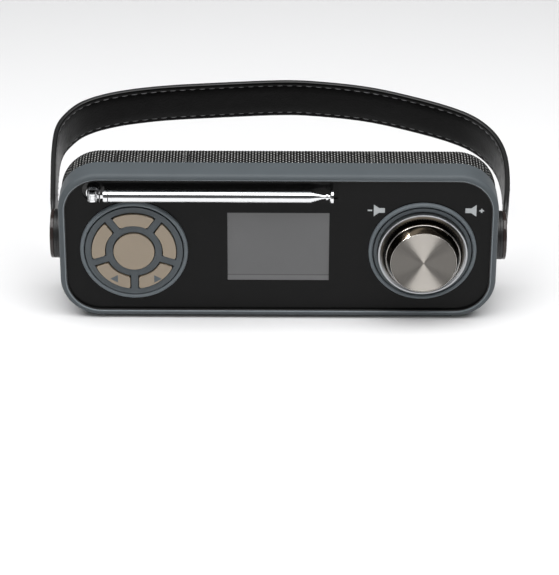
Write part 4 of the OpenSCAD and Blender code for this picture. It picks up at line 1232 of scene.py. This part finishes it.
class RADIO_OT_stage(bpy.types.Operator):
    """Set the floor, the softboxes and the camera"""
    bl_idname = "radio.stage"
    bl_label = "Stage"

    def execute(self, context):
        settings = context.scene.radio_stage
        self.floor(settings)
        self.sky(settings)
        softbox("overhead_softbox", (0.0, -0.2, 0.85), (0.0, -0.2, 0.0), (1.8, 0.7), settings.key_power)
        fill = softbox("front_fill", (0.0, -1.6, 1.1), (0.0, 0.0, 0.05), (1.6, 0.9), settings.fill_power)
        fill.visible_glossy = False
        knob = (0.078, -0.03, 0.04)
        window = softbox("window_light", (-0.662, 0.312, 0.725), knob, (0.4, 0.42), settings.side_power)
        shine_on(window, ("knob_", "key_"))
        rear = softbox("rear_fill", (0.0, 0.42, 0.92), knob, (1.8, 0.36), settings.rear_power)
        shine_on(rear, ("knob_body",))
        wash = softbox("floor_wash", (0.0, 1.1, 1.7), (0.0, 1.1, 0.0), (3.6, 2.2), settings.wash_power)
        shine_on(wash, ("studio_floor",))
        self.camera(context, settings)
        context.scene.view_settings.view_transform = "Standard"
        return {"FINISHED"}

    @staticmethod
    def floor(settings):
        mesh = bpy.data.meshes.new("studio_floor")
        reach = 6.0
        mesh.from_pydata([(-reach, -reach, 0), (reach, -reach, 0), (reach, reach, 0), (-reach, reach, 0)], [],
                         [(0, 1, 2, 3)])
        made = bpy.data.objects.new("studio_floor", mesh)
        bpy.context.scene.collection.objects.link(made)
        sweep = Shader("studio_paper", settings.floor, 0.9, Specular_IOR_Level=0.1)
        sweep.tint(sweep.noise(2, 2), 0.99, 1.01)
        mesh.materials.append(sweep.material)

    @staticmethod
    def sky(settings):
        world = bpy.data.worlds.new("studio_room")
        bpy.context.scene.world = world
        world.use_nodes = True
        backdrop = world.node_tree.nodes["Background"]
        backdrop.inputs["Color"].default_value = (0.95, 0.97, 1.0, 1.0)
        backdrop.inputs["Strength"].default_value = settings.sky

    @staticmethod
    def camera(context, settings):
        data = bpy.data.cameras.new("studio_camera")
        data.lens = settings.lens
        data.sensor_width = 36.0
        data.clip_start, data.clip_end = 0.05, 50.0
        made = bpy.data.objects.new("studio_camera", data)
        target = Vector((0.74 * MM, RIM_Y, 19.57 * MM))
        back = Vector((0, -math.cos(settings.elevation), math.sin(settings.elevation)))
        made.location = target + back * settings.distance
        turn = (-back).to_track_quat("-Z", "Y").to_matrix() @ Matrix.Rotation(settings.roll, 3, "Z")
        made.rotation_euler = turn.to_euler()
        context.scene.collection.objects.link(made)
        context.scene.camera = made


class RADIO_PT_panel(bpy.types.Panel):
    """Lists the radio's pieces in the order that they are made"""
    bl_idname = "RADIO_PT_panel"
    bl_label = "Strap Radio"
    bl_space_type = "VIEW_3D"
    bl_region_type = "UI"
    bl_category = "Strap Radio"

    def draw(self, context):
        for maker in MAKERS:
            self.layout.operator(maker.bl_idname)
        for name, group in SETTINGS.items():
            box = self.layout.box()
            box.label(text=group.__doc__)
            for key in group.__annotations__:
                box.prop(getattr(context.scene, name), key)


SETTINGS = {
    "radio_case": RadioCaseSettings, "radio_cloth": RadioClothSettings, "radio_keys": RadioKeySettings,
    "radio_knob": RadioKnobSettings, "radio_strap": RadioStrapSettings, "radio_stage": RadioStageSettings}
MAKERS = (RADIO_OT_case, RADIO_OT_keys, RADIO_OT_knob, RADIO_OT_mast, RADIO_OT_cloth, RADIO_OT_strap,
          RADIO_OT_back, RADIO_OT_inside, RADIO_OT_stage)
CLASSES = (*SETTINGS.values(), *MAKERS, RADIO_PT_panel)


def register():
    for item in CLASSES:
        bpy.utils.register_class(item)
    for name, group in SETTINGS.items():
        setattr(bpy.types.Scene, name, bpy.props.PointerProperty(type=group))


def unregister():
    for name in SETTINGS:
        delattr(bpy.types.Scene, name)
    for item in reversed(CLASSES):
        bpy.utils.unregister_class(item)


def main():
    register()
    for maker in MAKERS:
        group, action = maker.bl_idname.split(".")
        result = getattr(getattr(bpy.ops, group), action)()
        if result != {"FINISHED"}:
            raise RuntimeError(f"{maker.bl_label} didn't finish")


if __name__ == "__main__":
    main()
